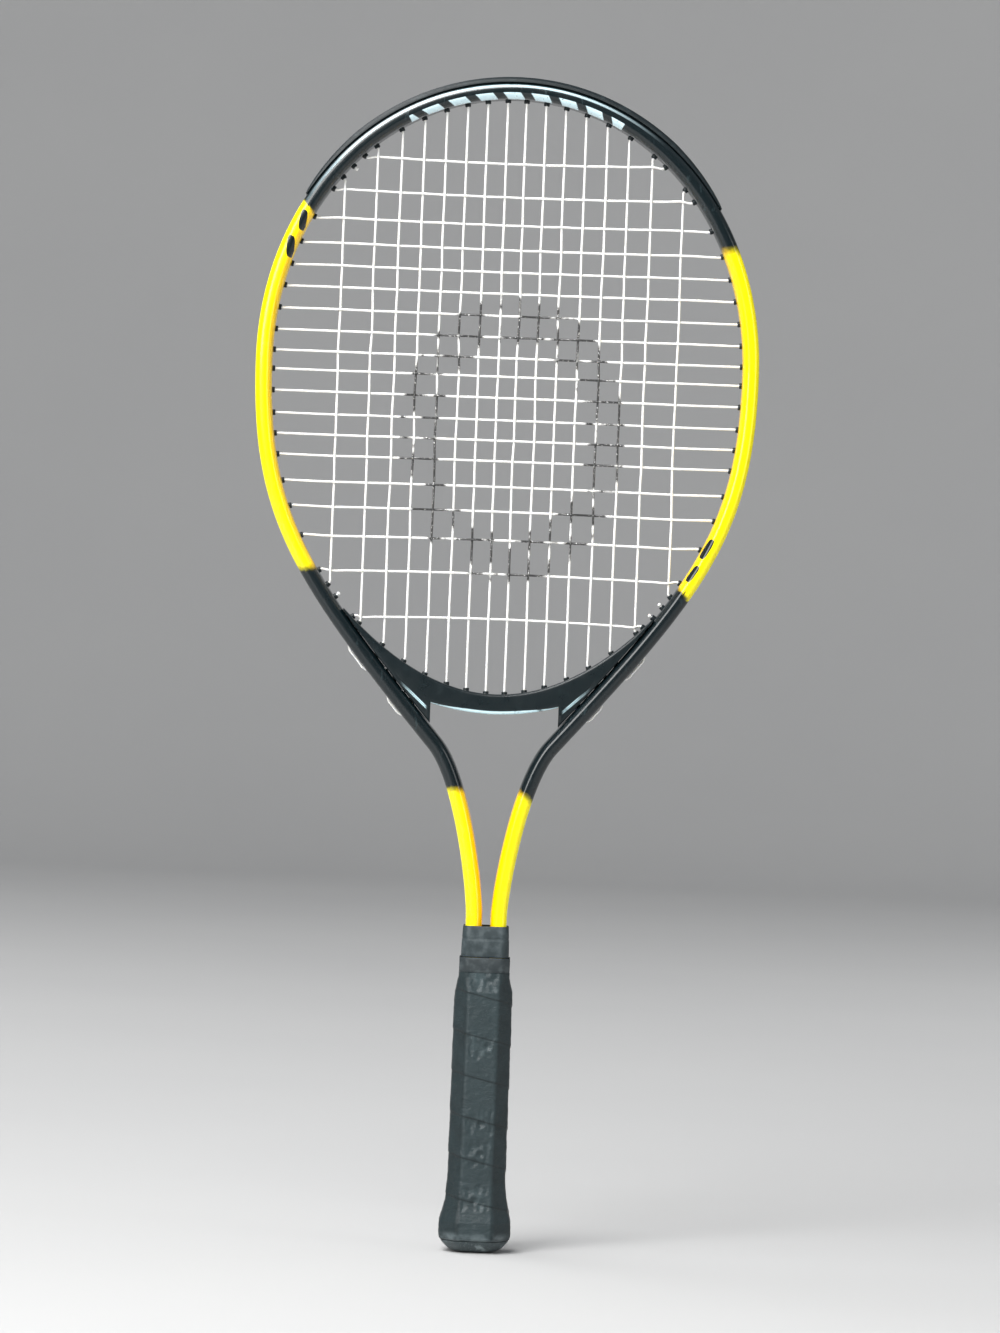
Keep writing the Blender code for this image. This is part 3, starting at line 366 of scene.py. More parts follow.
class Graph:
    """A material built around one Principled shader."""

    def __init__(self, name: str, **numbers: float) -> None:
        """Starts the material.

        Args:
            name: The material's name.
            numbers: Constants for the shader's sockets, with _ for a space.
        """
        self.material = bpy.data.materials.new(name)
        self.material.use_nodes = True
        self.tree = self.material.node_tree
        self.shader = self.tree.nodes["Principled BSDF"]
        for key, number in numbers.items():
            self.shader.inputs[key.replace("_", " ")].default_value = number

    def node(self, kind: str, inputs: dict, **settings: object) -> bpy.types.Node:
        """Adds a node.

        Args:
            kind: Its type, without the leading ShaderNode.
            inputs: What each input gets: another node's output, or a constant.
            settings: The node's own settings.

        Returns:
            The node.
        """
        made = self.tree.nodes.new("ShaderNode" + kind)
        for key, value in settings.items():
            setattr(made, key, value)
        for key, value in inputs.items():
            if isinstance(value, bpy.types.NodeSocket):
                self.tree.links.new(value, made.inputs[key])
            else:
                made.inputs[key].default_value = value
        return made

    def math(self, operation: str, a: Input, b: Input = 0.0) -> Socket:
        """Gives one operation on one or two numbers."""
        return self.node("Math", {0: a, 1: b}, operation=operation).outputs[0]

    def add(self, a: Input, b: Input) -> Socket:
        """Gives a plus b."""
        return self.math("ADD", a, b)

    def less(self, a: Input, b: Input) -> Socket:
        """Gives a minus b."""
        return self.math("SUBTRACT", a, b)

    def times(self, a: Input, b: Input) -> Socket:
        """Gives a times b."""
        return self.math("MULTIPLY", a, b)

    def over(self, a: Input, b: Input) -> Socket:
        """Gives a divided by b."""
        return self.math("DIVIDE", a, b)

    def size_of(self, value: Input) -> Socket:
        """Gives the value without its sign."""
        return self.math("ABSOLUTE", value)

    def both(self, *masks: Input) -> Socket:
        """Gives the product of the masks.

        Args:
            masks: The masks.

        Returns:
            The product.
        """
        product = masks[0]
        for mask in masks[1:]:
            product = self.times(product, mask)
        return product

    def either(self, *masks: Input) -> Socket:
        """Gives the largest of the masks.

        Args:
            masks: The masks.

        Returns:
            The largest at each point.
        """
        largest = masks[0]
        for mask in masks[1:]:
            largest = self.math("MAXIMUM", largest, mask)
        return largest

    def inverse(self, mask: Input) -> Socket:
        """Gives one less the mask."""
        return self.less(1.0, mask)

    def step(self, value: Input, low: float, high: float) -> Socket:
        """Gives a mask that rises smoothly from 0 at low to 1 at high."""
        inputs = {"Value": value, "From Min": low, "From Max": high}
        return self.node("MapRange", inputs, interpolation_type="SMOOTHSTEP").outputs[0]

    def fall(self, value: Input, low: float, high: float) -> Socket:
        """Gives a mask that falls smoothly from 1 at low to 0 at high."""
        return self.inverse(self.step(value, low, high))

    def within(self, value: Input, low: float, high: float, soft: float) -> Socket:
        """Gives a mask that is 1 between low and high, with edges that soft.

        Args:
            value: What is measured.
            low: The lower limit.
            high: The upper limit.
            soft: How wide the edges are.

        Returns:
            The mask.
        """
        rise = self.step(value, low - soft / 2, low + soft / 2)
        past = self.step(value, high - soft / 2, high + soft / 2)
        return self.less(rise, past)

    def mix(self, mask: Input, a: Input, b: Input) -> Socket:
        """Gives colour a where the mask is 0 and colour b where it is 1."""
        made = self.node("Mix", {0: mask, 6: a, 7: b}, data_type="RGBA")
        return made.outputs[2]

    def place(self) -> Socket:
        """Gives the point's place in the frame of the model."""
        return self.node("TexCoord", {}).outputs["Object"]

    def axis(self, number: int) -> Socket:
        """Gives one coordinate of the point, in metres."""
        return self.node("SeparateXYZ", {0: self.place()}).outputs[number]

    def stored(self, name: str) -> Socket:
        """Gives the number of that name stored on the mesh."""
        return self.node("Attribute", {}, attribute_name=name).outputs["Fac"]

    def noise(
        self, scale: float, detail: float = 3, stretch: Sequence[float] = (1, 1, 1)
    ) -> Socket:
        """Gives a cloudy pattern from 0 to 1.

        Args:
            scale: How many features there are to a metre.
            detail: How many finer layers it has.
            stretch: How much denser the pattern is along each axis.

        Returns:
            The pattern.
        """
        place = self.node("Mapping", {"Vector": self.place(), "Scale": stretch}).outputs[0]
        inputs = {"Vector": place, "Scale": scale, "Detail": detail}
        return self.node("TexNoise", inputs).outputs[0]

    def cells(self, scale: float) -> Socket:
        """Gives the distance to the nearest of scattered points, for grain and pores."""
        return self.node("TexVoronoi", {"Vector": self.place(), "Scale": scale}).outputs[0]

    def colour(self, value: Input) -> None:
        """Sets the base colour."""
        self.set("Base Color", value)

    def set(self, socket: str, value: Input) -> None:
        """Sets or links one of the shader's inputs.

        Args:
            socket: The input's name.
            value: A constant, or another node's output.
        """
        if isinstance(value, bpy.types.NodeSocket):
            self.tree.links.new(value, self.shader.inputs[socket])
        else:
            self.shader.inputs[socket].default_value = value

    def relief(self, height: Socket, depth: float, strength: float = 1.0) -> None:
        """Bumps the surface by the height, which is that many metres deep.

        Args:
            height: The pattern, from 0 to 1.
            depth: How deep it is, in metres.
            strength: How strongly it shades.
        """
        inputs = {"Height": height, "Distance": depth, "Strength": strength}
        if self.shader.inputs["Normal"].is_linked:
            inputs["Normal"] = self.shader.inputs["Normal"].links[0].from_socket
        self.set("Normal", self.node("Bump", inputs).outputs[0])


Colour = tuple[float, float, float, float]


@dataclass(frozen=True)
class Window:
    """A dark rounded patch in the bright paint, in millimetres along and across the tube."""

    along: float
    level: float
    half_length: float
    half_width: float
    slant: float


@dataclass(frozen=True)
class HoopPaint:
    """Gloss paint: dark, with bright arcs on the head's sides and on the shafts."""

    dark: Colour = (0.0035, 0.0085, 0.0105, 1)
    worn: Colour = (0.014, 0.028, 0.032, 1)
    bright: Colour = (1.0, 0.86, 0.0, 1)
    # Orange, used as painted shade on the inner side of the bright zones.
    painted_shade: Colour = (1.0, 0.60, 0.0, 1)
    # Pale: the print of the dashes, and the painted highlight along the front ridge.
    pale: Colour = (0.62, 0.80, 0.86, 1)
    arcs: tuple[tuple[float, float, float, float], ...] = ()
    shafts: tuple[float, float] = (0, 0)
    windows: tuple[Window, ...] = ()
    splits: tuple[tuple[float, float, float], ...] = ()
    dash_pitch: float = 16.4
    dash_share: float = 0.62
    dash_reach: float = 66.0
    dash_levels: tuple[float, float] = (-9.6, -6.0)
    split_half_width: float = 0.28
    patch_squareness: float = 3.4
    ragged_edge: float = 3.4
    shaft_soft: float = 3.0
    # Where the painted ridge highlight runs, in millimetres over the outer face.
    ridge_level: float = -2.1
    chipped: Colour = (0.30, 0.31, 0.32, 1)

    def window_mask(self, g: Graph, along: Socket, level: Socket, window: Window) -> Socket:
        """Gives 1 inside one dark patch.

        Args:
            g: The material's graph.
            along: The place along the tube, in millimetres from the apex.
            level: The height over the tube's outer face, in millimetres.
            window: The patch.

        Returns:
            The mask.
        """
        u = g.less(along, window.along)
        lean = g.times(u, window.slant)
        v = g.less(g.less(level, window.level), lean)
        far = g.math("POWER", g.size_of(g.over(u, window.half_length)), self.patch_squareness)
        wide = g.math("POWER", g.size_of(g.over(v, window.half_width)), self.patch_squareness)
        return g.fall(g.add(far, wide), 0.86, 1.14)

    def bright_mask(self, g: Graph, along: Socket, level: Socket) -> Socket:
        """Gives 1 where the paint is bright.

        Args:
            g: The material's graph.
            along: The place along the tube, in millimetres from the apex.
            level: The height over the tube's outer face, in millimetres.

        Returns:
            The mask.
        """
        ragged = g.times(g.less(g.noise(420, 4), 0.5), self.ragged_edge)
        lean = g.times(g.size_of(level), 0.35)
        edge = g.add(along, g.add(ragged, lean))
        masks = []
        for low, high, soft_low, soft_high in self.arcs:
            rise = g.step(edge, low - soft_low, low + soft_low)
            masks.append(g.both(rise, g.fall(edge, high - soft_high, high + soft_high)))
        left, right = self.shafts
        masks.append(g.fall(edge, -left - self.shaft_soft, -left + self.shaft_soft))
        masks.append(g.step(edge, right - self.shaft_soft, right + self.shaft_soft))
        bright = g.either(*masks)
        dark = [self.window_mask(g, along, level, window) for window in self.windows]
        for low, high, line in self.splits:
            reach = g.within(along, low, high, 1)
            half = self.split_half_width
            dark.append(g.both(reach, g.within(level, line - half, line + half, 0.3)))
        front = g.fall(g.axis(1), -0.0072, -0.0064)
        return g.both(bright, g.inverse(g.both(g.either(*dark), front)))

    def dash_mask(self, g: Graph, along: Socket, level: Socket) -> Socket:
        """Gives 1 on the row of plain slanted dashes inside the top of the head, front and back.

        Args:
            g: The material's graph.
            along: The place along the tube, in millimetres from the apex.
            level: The height over the tube's outer face, in millimetres.

        Returns:
            The mask.
        """
        slanted = g.add(along, g.times(level, 0.8))
        turn = g.math("FRACT", g.over(slanted, self.dash_pitch))
        bar = g.within(turn, 0.5 - self.dash_share / 2, 0.5 + self.dash_share / 2, 0.05)
        row = g.within(level, *self.dash_levels, 0.4)
        reach = g.within(along, -self.dash_reach, self.dash_reach, 0.6)
        face = g.step(g.size_of(g.axis(1)), 0.0045, 0.0052)
        worn = g.step(g.noise(900, 4), 0.27, 0.36)
        return g.both(bar, row, reach, face, worn)

    def ridge_highlight_mask(self, g: Graph, along: Socket, level: Socket) -> Socket:
        """Gives 1 on the front ridge over the head's top, where a painted highlight is laid in pale
        paint.

        Args:
            g: The material's graph.
            along: The place along the tube, in millimetres from the apex.
            level: The height over the tube's outer face, in millimetres.

        Returns:
            The mask.
        """
        line = g.fall(g.size_of(g.less(level, self.ridge_level)), 0.35, 1.0)
        reach = g.both(g.step(along, -165, -70), g.fall(along, 25, 95))
        front = g.fall(g.axis(1), -0.008, -0.007)
        return g.both(line, reach, front, g.step(g.noise(60, 4), 0.22, 0.42), 0.85)

    def material(self) -> bpy.types.Material:
        """Builds the paint, with its zones, dashes, chips, fine orange peel, painted shade toward
        the inner side of the bright zones and a painted highlight along the front ridge.

        Returns:
            The material.
        """
        g = Graph("hoop_paint", Specular_IOR_Level=0.32, Coat_Weight=0.5, Coat_Roughness=0.07)
        along, level = g.stored("along"), g.stored("level")
        bright = self.bright_mask(g, along, level)
        # Painted shade: the bright paint turns orange toward the tube's inner side, by the string
        # bed.
        edge = g.add(level, g.times(g.noise(45, 4), 5.0))
        inner = g.both(g.fall(edge, -6.2, -1.0), 0.85)
        yellow = g.mix(inner, self.bright, self.painted_shade)
        scuffs = g.both(g.step(g.noise(260, 6, (1, 1, 0.35)), 0.62, 0.74), 0.8)
        dark = g.mix(scuffs, self.dark, self.worn)
        zones = g.mix(bright, dark, yellow)
        # Painted highlight: pale paint along the front ridge over the head's top.
        ridge = g.both(self.ridge_highlight_mask(g, along, level), g.inverse(bright))
        zones = g.mix(ridge, zones, self.pale)
        colour = g.mix(self.dash_mask(g, along, level), zones, self.pale)
        chips = g.both(g.step(g.noise(1500, 3), 0.70, 0.74), g.step(level, -1.6, -0.3))
        g.colour(g.mix(chips, colour, self.chipped))
        haze = g.times(g.noise(130, 5), 0.16)
        g.set("Roughness", g.add(g.add(0.17, haze), g.both(scuffs, 0.15)))
        g.relief(g.noise(1300, 2), 0.00004, 0.5)
        g.relief(g.either(bright, g.both(scuffs, 0.3)), 0.00006, 0.35)
        return g.material


@dataclass(frozen=True)
class MouldedPlastic:
    """Dark satin nylon of the bridge, the guard and the grommets."""

    name: str
    colour: Colour = (0.0045, 0.0095, 0.0115, 1)
    # Paler colour of the streaks: rubbed wear, and on the cap also a painted sheen.
    rubbed: Colour = (0.024, 0.038, 0.042, 1)
    roughness: float = 0.34
    wear: float = 0.35

    def edges(self, g: Graph, body: Socket) -> Socket:
        """Gives the body's colour as it is; a part with painted edge highlights adds them here."""
        return body

    def material(self) -> bpy.types.Material:
        """Builds the plastic: fine grain, cloudy gloss, and paler streaks of rubbed wear, which on
        the cap also stand for a painted sheen.

        Returns:
            The material.
        """
        g = Graph(self.name, Specular_IOR_Level=0.36)
        streaks = g.both(g.step(g.noise(180, 6, (1, 1, 1)), 0.55, 0.75), self.wear)
        fine = g.both(g.step(g.noise(1400, 3), 0.55, 0.8), self.wear)
        body = g.mix(g.either(streaks, fine), self.colour, self.rubbed)
        g.colour(self.edges(g, body))
        g.set("Roughness", g.add(self.roughness, g.times(g.noise(150, 4), 0.2)))
        g.relief(g.cells(2600), 0.00004, 0.35)
        return g.material


@dataclass(frozen=True)
class BridgePlastic(MouldedPlastic):
    """The bridge's nylon, with painted highlights: pale lines along its lower front edge and its
    slanted ledges.
    """

    under_z: float = 0.0
    under_curve: float = 0.0
    foot: float = 0.0
    ledge: tuple[float, float, float, float] = (0, 0, 1, 1)
    # Pale colour of the painted highlights along the edges.
    polished: Colour = (0.62, 0.84, 0.90, 1)

    def edges(self, g: Graph, body: Socket) -> Socket:
        """Lays the painted highlight lines over the body's colour.

        Args:
            g: The material's graph.
            body: The colour without the lines.

        Returns:
            The colour with them.
        """
        far, z = g.size_of(g.axis(0)), g.axis(2)
        arc = g.times(g.times(far, far), self.under_curve)
        above = g.less(z, g.add(arc, self.under_z))
        taper = g.fall(far, self.foot * 0.35, self.foot * 0.98)
        height = g.add(g.both(taper, 0.0012), 0.0006)
        under = g.both(g.fall(g.over(above, height), 0.8, 1.2),
                       g.fall(far, self.foot - 0.0006, self.foot))
        x0, z0, x1, z1 = self.ledge
        slope = (z1 - z0) / (x1 - x0)
        line = g.add(g.times(g.less(far, x0), slope), z0)
        near = g.size_of(g.less(z, line))
        reach = g.both(g.step(far, x0, x0 + 0.002), g.fall(far, x0 + 0.006, x1 - 0.004))
        slant = g.both(g.fall(near, 0.0006, 0.0013), reach)
        front = g.fall(g.axis(1), -0.0080, -0.0072)
        # Painted highlight: pale lines on the front, along the lower edge and the slanted ledges,
        # broken up by noise.
        lines = g.both(g.either(under, slant), front, g.step(g.noise(150, 4), 0.25, 0.45))
        return g.mix(lines, body, self.polished)


@dataclass(frozen=True)
class StringGut:
    """Off-white synthetic gut with a worn plain ring stencilled on the bed."""

    clean: Colour = (0.93, 0.93, 0.90, 1)
    dusty: Colour = (0.76, 0.76, 0.71, 1)
    ink: Colour = (0.010, 0.010, 0.011, 1)
    ring_x: float = 0.004
    ring_z: float = 0.474
    ring_half_width: float = 0.066
    ring_half_height: float = 0.084
    ring_inner: float = 0.66

    def ring_mask(self, g: Graph) -> Socket:
        """Gives 1 on the stencilled ring, broken up where the ink has worn off.

        Args:
            g: The material's graph.

        Returns:
            The mask.
        """
        across = g.over(g.less(g.axis(0), self.ring_x), self.ring_half_width)
        up = g.over(g.less(g.axis(2), self.ring_z), self.ring_half_height)
        square = g.add(g.times(across, across), g.times(up, up))
        radius = g.math("SQRT", square)
        ring = g.within(radius, self.ring_inner, 1.0, 0.03)
        patches = g.step(g.noise(62, 5), 0.40, 0.50)
        specks = g.step(g.noise(1100, 3), 0.28, 0.44)
        return g.both(ring, patches, specks, 0.97)

    def material(self) -> bpy.types.Material:
        """Builds the string: a faint sheen, dust where it was handled, and the stencil.

        Returns:
            The material.
        """
        g = Graph("string_gut", Roughness=0.34, Subsurface_Weight=0.12, Subsurface_Scale=0.0006)
        g.shader.inputs["Subsurface Radius"].default_value = (1.0, 0.9, 0.7)
        dust = g.both(g.step(g.noise(240, 5), 0.45, 0.72), 0.5)
        g.colour(g.mix(self.ring_mask(g), g.mix(dust, self.clean, self.dusty), self.ink))
        g.relief(g.noise(5200, 2, (1, 1, 1)), 0.00003, 0.35)
        return g.material


@dataclass(frozen=True)
class GripTape:
    """Wound synthetic tape: leathery grain, painted shade along the seams, shiny where it was held,
    and painted sheen on the front and back facets, along their edges and on the foot's front.
    """

    pitch: float
    deep: Colour = (0.0055, 0.0115, 0.013, 1)
    main: Colour = (0.013, 0.024, 0.027, 1)
    # Paler colour for the polished patches and for the painted sheen on the facets and their edges.
    rubbed: Colour = (0.042, 0.062, 0.067, 1)
    shadow: Colour = (0.003, 0.006, 0.007, 1)
    # Pale colour of the painted sheen on the front of the tape's foot.
    worn: Colour = (0.14, 0.175, 0.185, 1)
    half_facet: float = 0.0083

    def seam(self, g: Graph) -> Socket:
        """Gives 1 along the line where each turn of the tape ends on the one before.

        Args:
            g: The material's graph.

        Returns:
            The mask.
        """
        turn = g.over(g.math("ARCTAN2", g.axis(1), g.axis(0)), 2 * math.pi)
        wound = g.math("FRACT", g.add(g.over(g.axis(2), self.pitch), turn))
        wrapped = g.both(g.step(g.axis(2), 0.009, 0.012), g.fall(g.axis(2), 0.158, 0.162))
        return g.both(g.within(wound, 0.962, 0.994, 0.018), wrapped)

    def material(self) -> bpy.types.Material:
        """Builds the tape from its winding and the stored wear, with painted sheen and painted
        shade laid over it.

        Returns:
            The material.
        """
        g = Graph("grip_tape_skin", Specular_IOR_Level=0.34, Sheen_Weight=0.05, Sheen_Roughness=0.5)
        cloudy = g.step(g.noise(75, 6), 0.34, 0.70)
        body = g.mix(g.both(cloudy, 0.6), self.main, self.deep)
        far = g.size_of(g.axis(0))
        # Painted sheen: the front and back facets lighter than the sides.
        painted_facet_sheen = g.both(g.fall(far, self.half_facet, self.half_facet + 0.0016), 0.42)
        # Painted highlight along the facets' edges.
        rim = g.both(g.within(far, self.half_facet - 0.0006, self.half_facet + 0.0008, 0.0008), 0.3)
        shine = g.both(g.stored("polish"), g.step(g.noise(160, 5, (1, 1, 0.6)), 0.34, 0.70))
        # The patches' real polish, together with the painted sheen and highlight.
        handled = g.either(shine, painted_facet_sheen, g.both(rim, g.step(g.noise(90, 4), 0.35, 0.6)))
        rubbed = g.mix(handled, body, self.rubbed)
        # Painted sheen on the front of the tape's foot, near the cap.
        foot = g.both(g.fall(g.axis(2), 0.009, 0.0135), g.step(g.noise(120, 5), 0.36, 0.66))
        rubbed = g.mix(g.both(foot, g.fall(g.axis(1), -0.012, -0.004), 0.7), rubbed, self.worn)
        # Painted shade along each seam.
        g.colour(g.mix(g.both(self.seam(g), 0.6), rubbed, self.shadow))
        rough = g.add(0.38, g.times(g.noise(220, 4), 0.24))
        g.set("Roughness", g.less(rough, g.times(handled, 0.12)))
        g.relief(g.cells(1700), 0.0001, 0.6)
        g.relief(g.noise(420, 5, (1, 1, 1.7)), 0.0006, 0.6)
        return g.material


@dataclass(frozen=True)
class Rubber:
    """Matt rubber of the collar and the band."""

    name: str
    colour: Colour
    dusty: Colour

    def material(self) -> bpy.types.Material:
        """Builds the rubber: dusty patches and a fine moulded grain.

        Returns:
            The material.
        """
        g = Graph(self.name, Specular_IOR_Level=0.4)
        dust = g.step(g.noise(190, 6), 0.40, 0.72)
        g.colour(g.mix(dust, self.colour, self.dusty))
        g.set("Roughness", g.add(0.5, g.times(g.noise(260, 4), 0.22)))
        g.relief(g.cells(2300), 0.00005, 0.4)
        g.relief(g.noise(420, 3), 0.0001, 0.3)
        return g.material


@dataclass(frozen=True)
class PlainStuff:
    """A finish for the small inner pieces: one tone with slight mottling and grain."""

    name: str
    colour: Colour
    mottled: Colour
    roughness: float
    metallic: float = 0.0
    grain: float = 1500

    def material(self) -> bpy.types.Material:
        """Builds the finish.

        Returns:
            The material.
        """
        g = Graph(self.name, Metallic=self.metallic)
        g.colour(g.mix(g.step(g.noise(300, 5), 0.35, 0.7), self.colour, self.mottled))
        g.set("Roughness", g.add(self.roughness, g.times(g.noise(500, 3), 0.15)))
        g.relief(g.noise(self.grain, 3), 0.00006, 0.5)
        return g.material


# ------------------------------------------------------------------ the strings' holes


@dataclass(frozen=True)
class HoopLine:
    """The tube's centreline: five numbers per side, fitted between the frame's own extremes."""

    widest_below_apex: float = 160.9 * MM
    waist_below_apex: float = 381.4 * MM
    waist_half_width: float = 34.0 * MM
    waist_lean: float = math.radians(41)
    shaft_spacing: float = 14.4 * MM
    straight_above_handle: float = 5 * MM
    tube_width: float = 9.8 * MM
    apex_fullness: float = 0.553
    shoulder_fullness: float = 0.574
    hip_fullness: float = 0.411
    throat_fullness: float = 0.576
    waist_fullness: float = 0.272
    entry_fullness: float = 0.139
    straight_points: int = 80

    def edge(self) -> EdgeLine:
        """Draws the centreline from the left shaft's end over the head to the right shaft's end.

        Returns:
            The line, with level 0 on the tube's outer face.
        """
        low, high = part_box("frame_tube")
        handle_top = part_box("rubber_collar")[1].z
        half = self.tube_width / 2
        apex = np.array([0, high.z - half])
        widest = np.array([high.x - half, apex[1] - self.widest_below_apex])
        waist = np.array([self.waist_half_width, apex[1] - self.waist_below_apex])
        entry = np.array([self.shaft_spacing / 2, handle_top + self.straight_above_handle])
        across, up = np.array([1, 0]), np.array([0, 1])
        lean = np.array([math.sin(self.waist_lean), math.cos(self.waist_lean)])
        crown, flank, throat = widest[0], widest[1] - waist[1], waist[1] - entry[1]
        curves = (
            (apex, apex + across * self.apex_fullness * crown,
             widest + up * self.shoulder_fullness * self.widest_below_apex, widest),
            (widest, widest - up * self.hip_fullness * flank,
             waist + lean * self.throat_fullness * flank, waist),
            (waist, waist - lean * self.waist_fullness * throat,
             entry + up * self.entry_fullness * throat, entry),
        )
        straight = np.linspace(entry, [entry[0], low.z], self.straight_points)
        right = np.vstack([bezier(curve) for curve in curves] + [straight])
        left = right[1:][::-1] * [-1, 1]
        return EdgeLine(np.vstack([left, right]), half)


@dataclass(frozen=True)
class Levels:
    """Heights measured outward from the hoop's outer face, and the strings' sizes."""

    clearance: float = 0.3 * MM
    groove_depth: float = 2.4 * MM
    groove_half_width: float = 4.0 * MM
    strip_thickness: float = 0.8 * MM
    string_radius: float = 0.67 * MM
    barrel_proud: float = 1.5 * MM
    bend_proud: float = 0.8 * MM
    barrel_radius: float = 1.7 * MM

    @property
    def base(self) -> float:
        """The underside of the strips."""
        return self.clearance - self.groove_depth

    @property
    def lane(self) -> float:
        """The middle of a string that lies on the strip."""
        return self.base + self.strip_thickness + self.string_radius


LEVELS = Levels()


class Hole:
    """One string hole: where the string bends into it, its axis, and its place along the edge."""

    def __init__(self, edge: EdgeLine, bend: np.ndarray, axis: np.ndarray) -> None:
        """Finds the hole's mouth and its way out.

        Args:
            edge: The edge that it leaves through.
            bend: The (x, z) point where the string turns into it.
            axis: Its outward direction.
        """
        self.edge, self.bend, self.axis = edge, bend, axis
        self.mouth = bend + axis * LEVELS.bend_proud
        self.s, _ = edge.meet(bend, axis, LEVELS.lane)

    def point_at(self, level: float) -> np.ndarray:
        """Gives the point on the axis at that level."""
        return self.bend + self.axis * self.edge.meet(self.bend, self.axis, level)[1]


@dataclass
class StringBed:
    """Where the strings run and where they pass through the hoop and the bridge."""

    hoop: EdgeLine
    line: HoopLine
    bridge_top: float = 351.5 * MM
    bridge_thickness: float = 11.7 * MM
    top_curve: float = 5.8
    under_curve: float = 3.85
    foot_half_span: float = 37.5 * MM
    main_gaps: tuple[float, ...] = (10.8, 11.5, 11.6, 12.0, 12.6, 12.8, 14.0, 18.6)
    main_spread: float = 0.721
    cross_gaps: tuple[float, ...] = (
        19.6, 16.5, 14.5, 13.1, 12.6, 13.0, 12.6, 12.1, 11.0,
        12.5, 13.1, 12.0, 12.1, 15.1, 14.5, 16.8, 19.8, 26.4,
    )
    first_cross_below_top: float = 36.5 * MM
    last_cross_share: float = 0.85
    arc_points: int = 121
    hole_lean: float = 0.3
    throat_hole_lean: float = 0.5
    hoop_margin: float = 3 * MM
    main_knot_shares: tuple[float, float] = (0.36, 0.33)
    cross_knot_shares: tuple[float, float] = (0.5, 0.67)

    def __post_init__(self) -> None:
        """Lays out the holes and the crossings."""
        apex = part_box("frame_tube")[1].z - self.line.tube_width / 2
        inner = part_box("frame_tube")[1].x - self.line.tube_width
        self.wide_z = apex - self.line.widest_below_apex
        self.top_z = apex - self.bridge_top
        self.top = self.parabola(self.top_z, self.top_curve, inner, False)
        under_z = self.top_z - self.bridge_thickness
        self.under = self.parabola(under_z, self.under_curve, self.foot_half_span, True)
        half = np.cumsum([self.main_gaps[0] / 2, *self.main_gaps[1:]])
        half = half / half[-1] * self.main_spread * inner
        self.main_x = [*(-half[::-1]), *half]
        self.main_tops = [self.hole((x, self.wide_z), (0, 1)) for x in self.main_x]
        self.main_bottoms = [self.lower_hole(column) for column in range(len(self.main_x))]
        drops = np.cumsum([0, *self.cross_gaps])
        bed_top = apex - self.line.tube_width / 2
        high = bed_top - self.first_cross_below_top
        end_x = self.main_x[-1] + self.last_cross_share * (self.main_x[-2] - self.main_x[-1])
        low = self.hole((end_x, self.wide_z), (0, -1)).bend[1]
        self.cross_z = [high + (low - high) * drop / drops[-1] for drop in drops]
        self.cross_lefts = [self.hole((0, z), (-1, 0)) for z in self.cross_z]
        self.cross_rights = [self.hole((0, z), (1, 0)) for z in self.cross_z]
        last = self.cross_lefts[-1], self.cross_rights[-1]
        self.main_knots = (
            self.knot_hole(self.main_bottoms[0], last[0], self.main_knot_shares[0]),
            self.knot_hole(self.main_bottoms[-1], last[1], self.main_knot_shares[1]),
        )
        self.cross_knots = (
            self.knot_hole(self.cross_lefts[0], self.main_tops[0], self.cross_knot_shares[0]),
            self.knot_hole(self.main_bottoms[-1], last[1], self.cross_knot_shares[1]),
        )

    def parabola(self, middle_z: float, curve: float, half_span: float, down: bool) -> EdgeLine:
        """Makes one of the bridge's arcs.

        Args:
            middle_z: Its height at the middle.
            curve: How fast it rises to the sides.
            half_span: How far it reaches to each side.
            down: Whether its outward side is the lower one.

        Returns:
            The arc.
        """
        x = np.linspace(-half_span, half_span, self.arc_points)
        points = np.stack([x, middle_z + curve * x**2], axis=1)
        return EdgeLine(points[::-1] if down else points, 0)

    def lower_hole(self, column: int) -> Hole:
        """Gives a main's lower hole. Two mains joined by a loop leave by the same edge.

        Args:
            column: The main, counted from the left.

        Returns:
            The hole.
        """
        partner = min(max(column + (1 if column % 2 else -1), 0), len(self.main_x) - 1)
        reach = max(abs(self.main_x[column]), abs(self.main_x[partner]))
        inside_feet = reach + LEVELS.barrel_radius < self.foot_half_span
        return self.hole((self.main_x[column], self.wide_z), (0, -1), inside_feet)

    def reach(self, origin: np.ndarray, direction: np.ndarray) -> tuple[float, float]:
        """Measures how far a line can run before its bend, and how far the hoop alone is.

        Args:
            origin: The line's start.
            direction: Its direction.

        Returns:
            Both distances.
        """
        stand_off = LEVELS.barrel_proud + LEVELS.bend_proud
        side = self.hoop.meet(origin, direction, -self.line.tube_width - stand_off)[1]
        drop = self.top.meet(origin, direction, stand_off)[1]
        return min(side, drop), side

    def hole(
        self,
        start: tuple[float, float],
        toward: tuple[float, float],
        inside_feet: bool = False,
    ) -> Hole:
        """Makes the hole where a string's line leaves the bed.

        Args:
            start: A point on the line inside the head.
            toward: Its direction.
            inside_feet: Whether it leaves by the bridge alone.

        Returns:
            The hole.
        """
        origin, direction = np.array(start), np.array(toward, float)
        reach, side = self.reach(origin, direction)
        bend = origin + direction * reach
        if inside_feet:
            return Hole(self.under, bend, direction)
        s = self.hoop.meet(bend, direction, 0)[0]
        by_hoop = direction[1] >= 0 or side - reach < self.hoop_margin
        lean = self.hole_lean if by_hoop else self.throat_hole_lean
        return Hole(self.hoop, bend, unit(lean * direction + (1 - lean) * self.hoop.normal(s)))

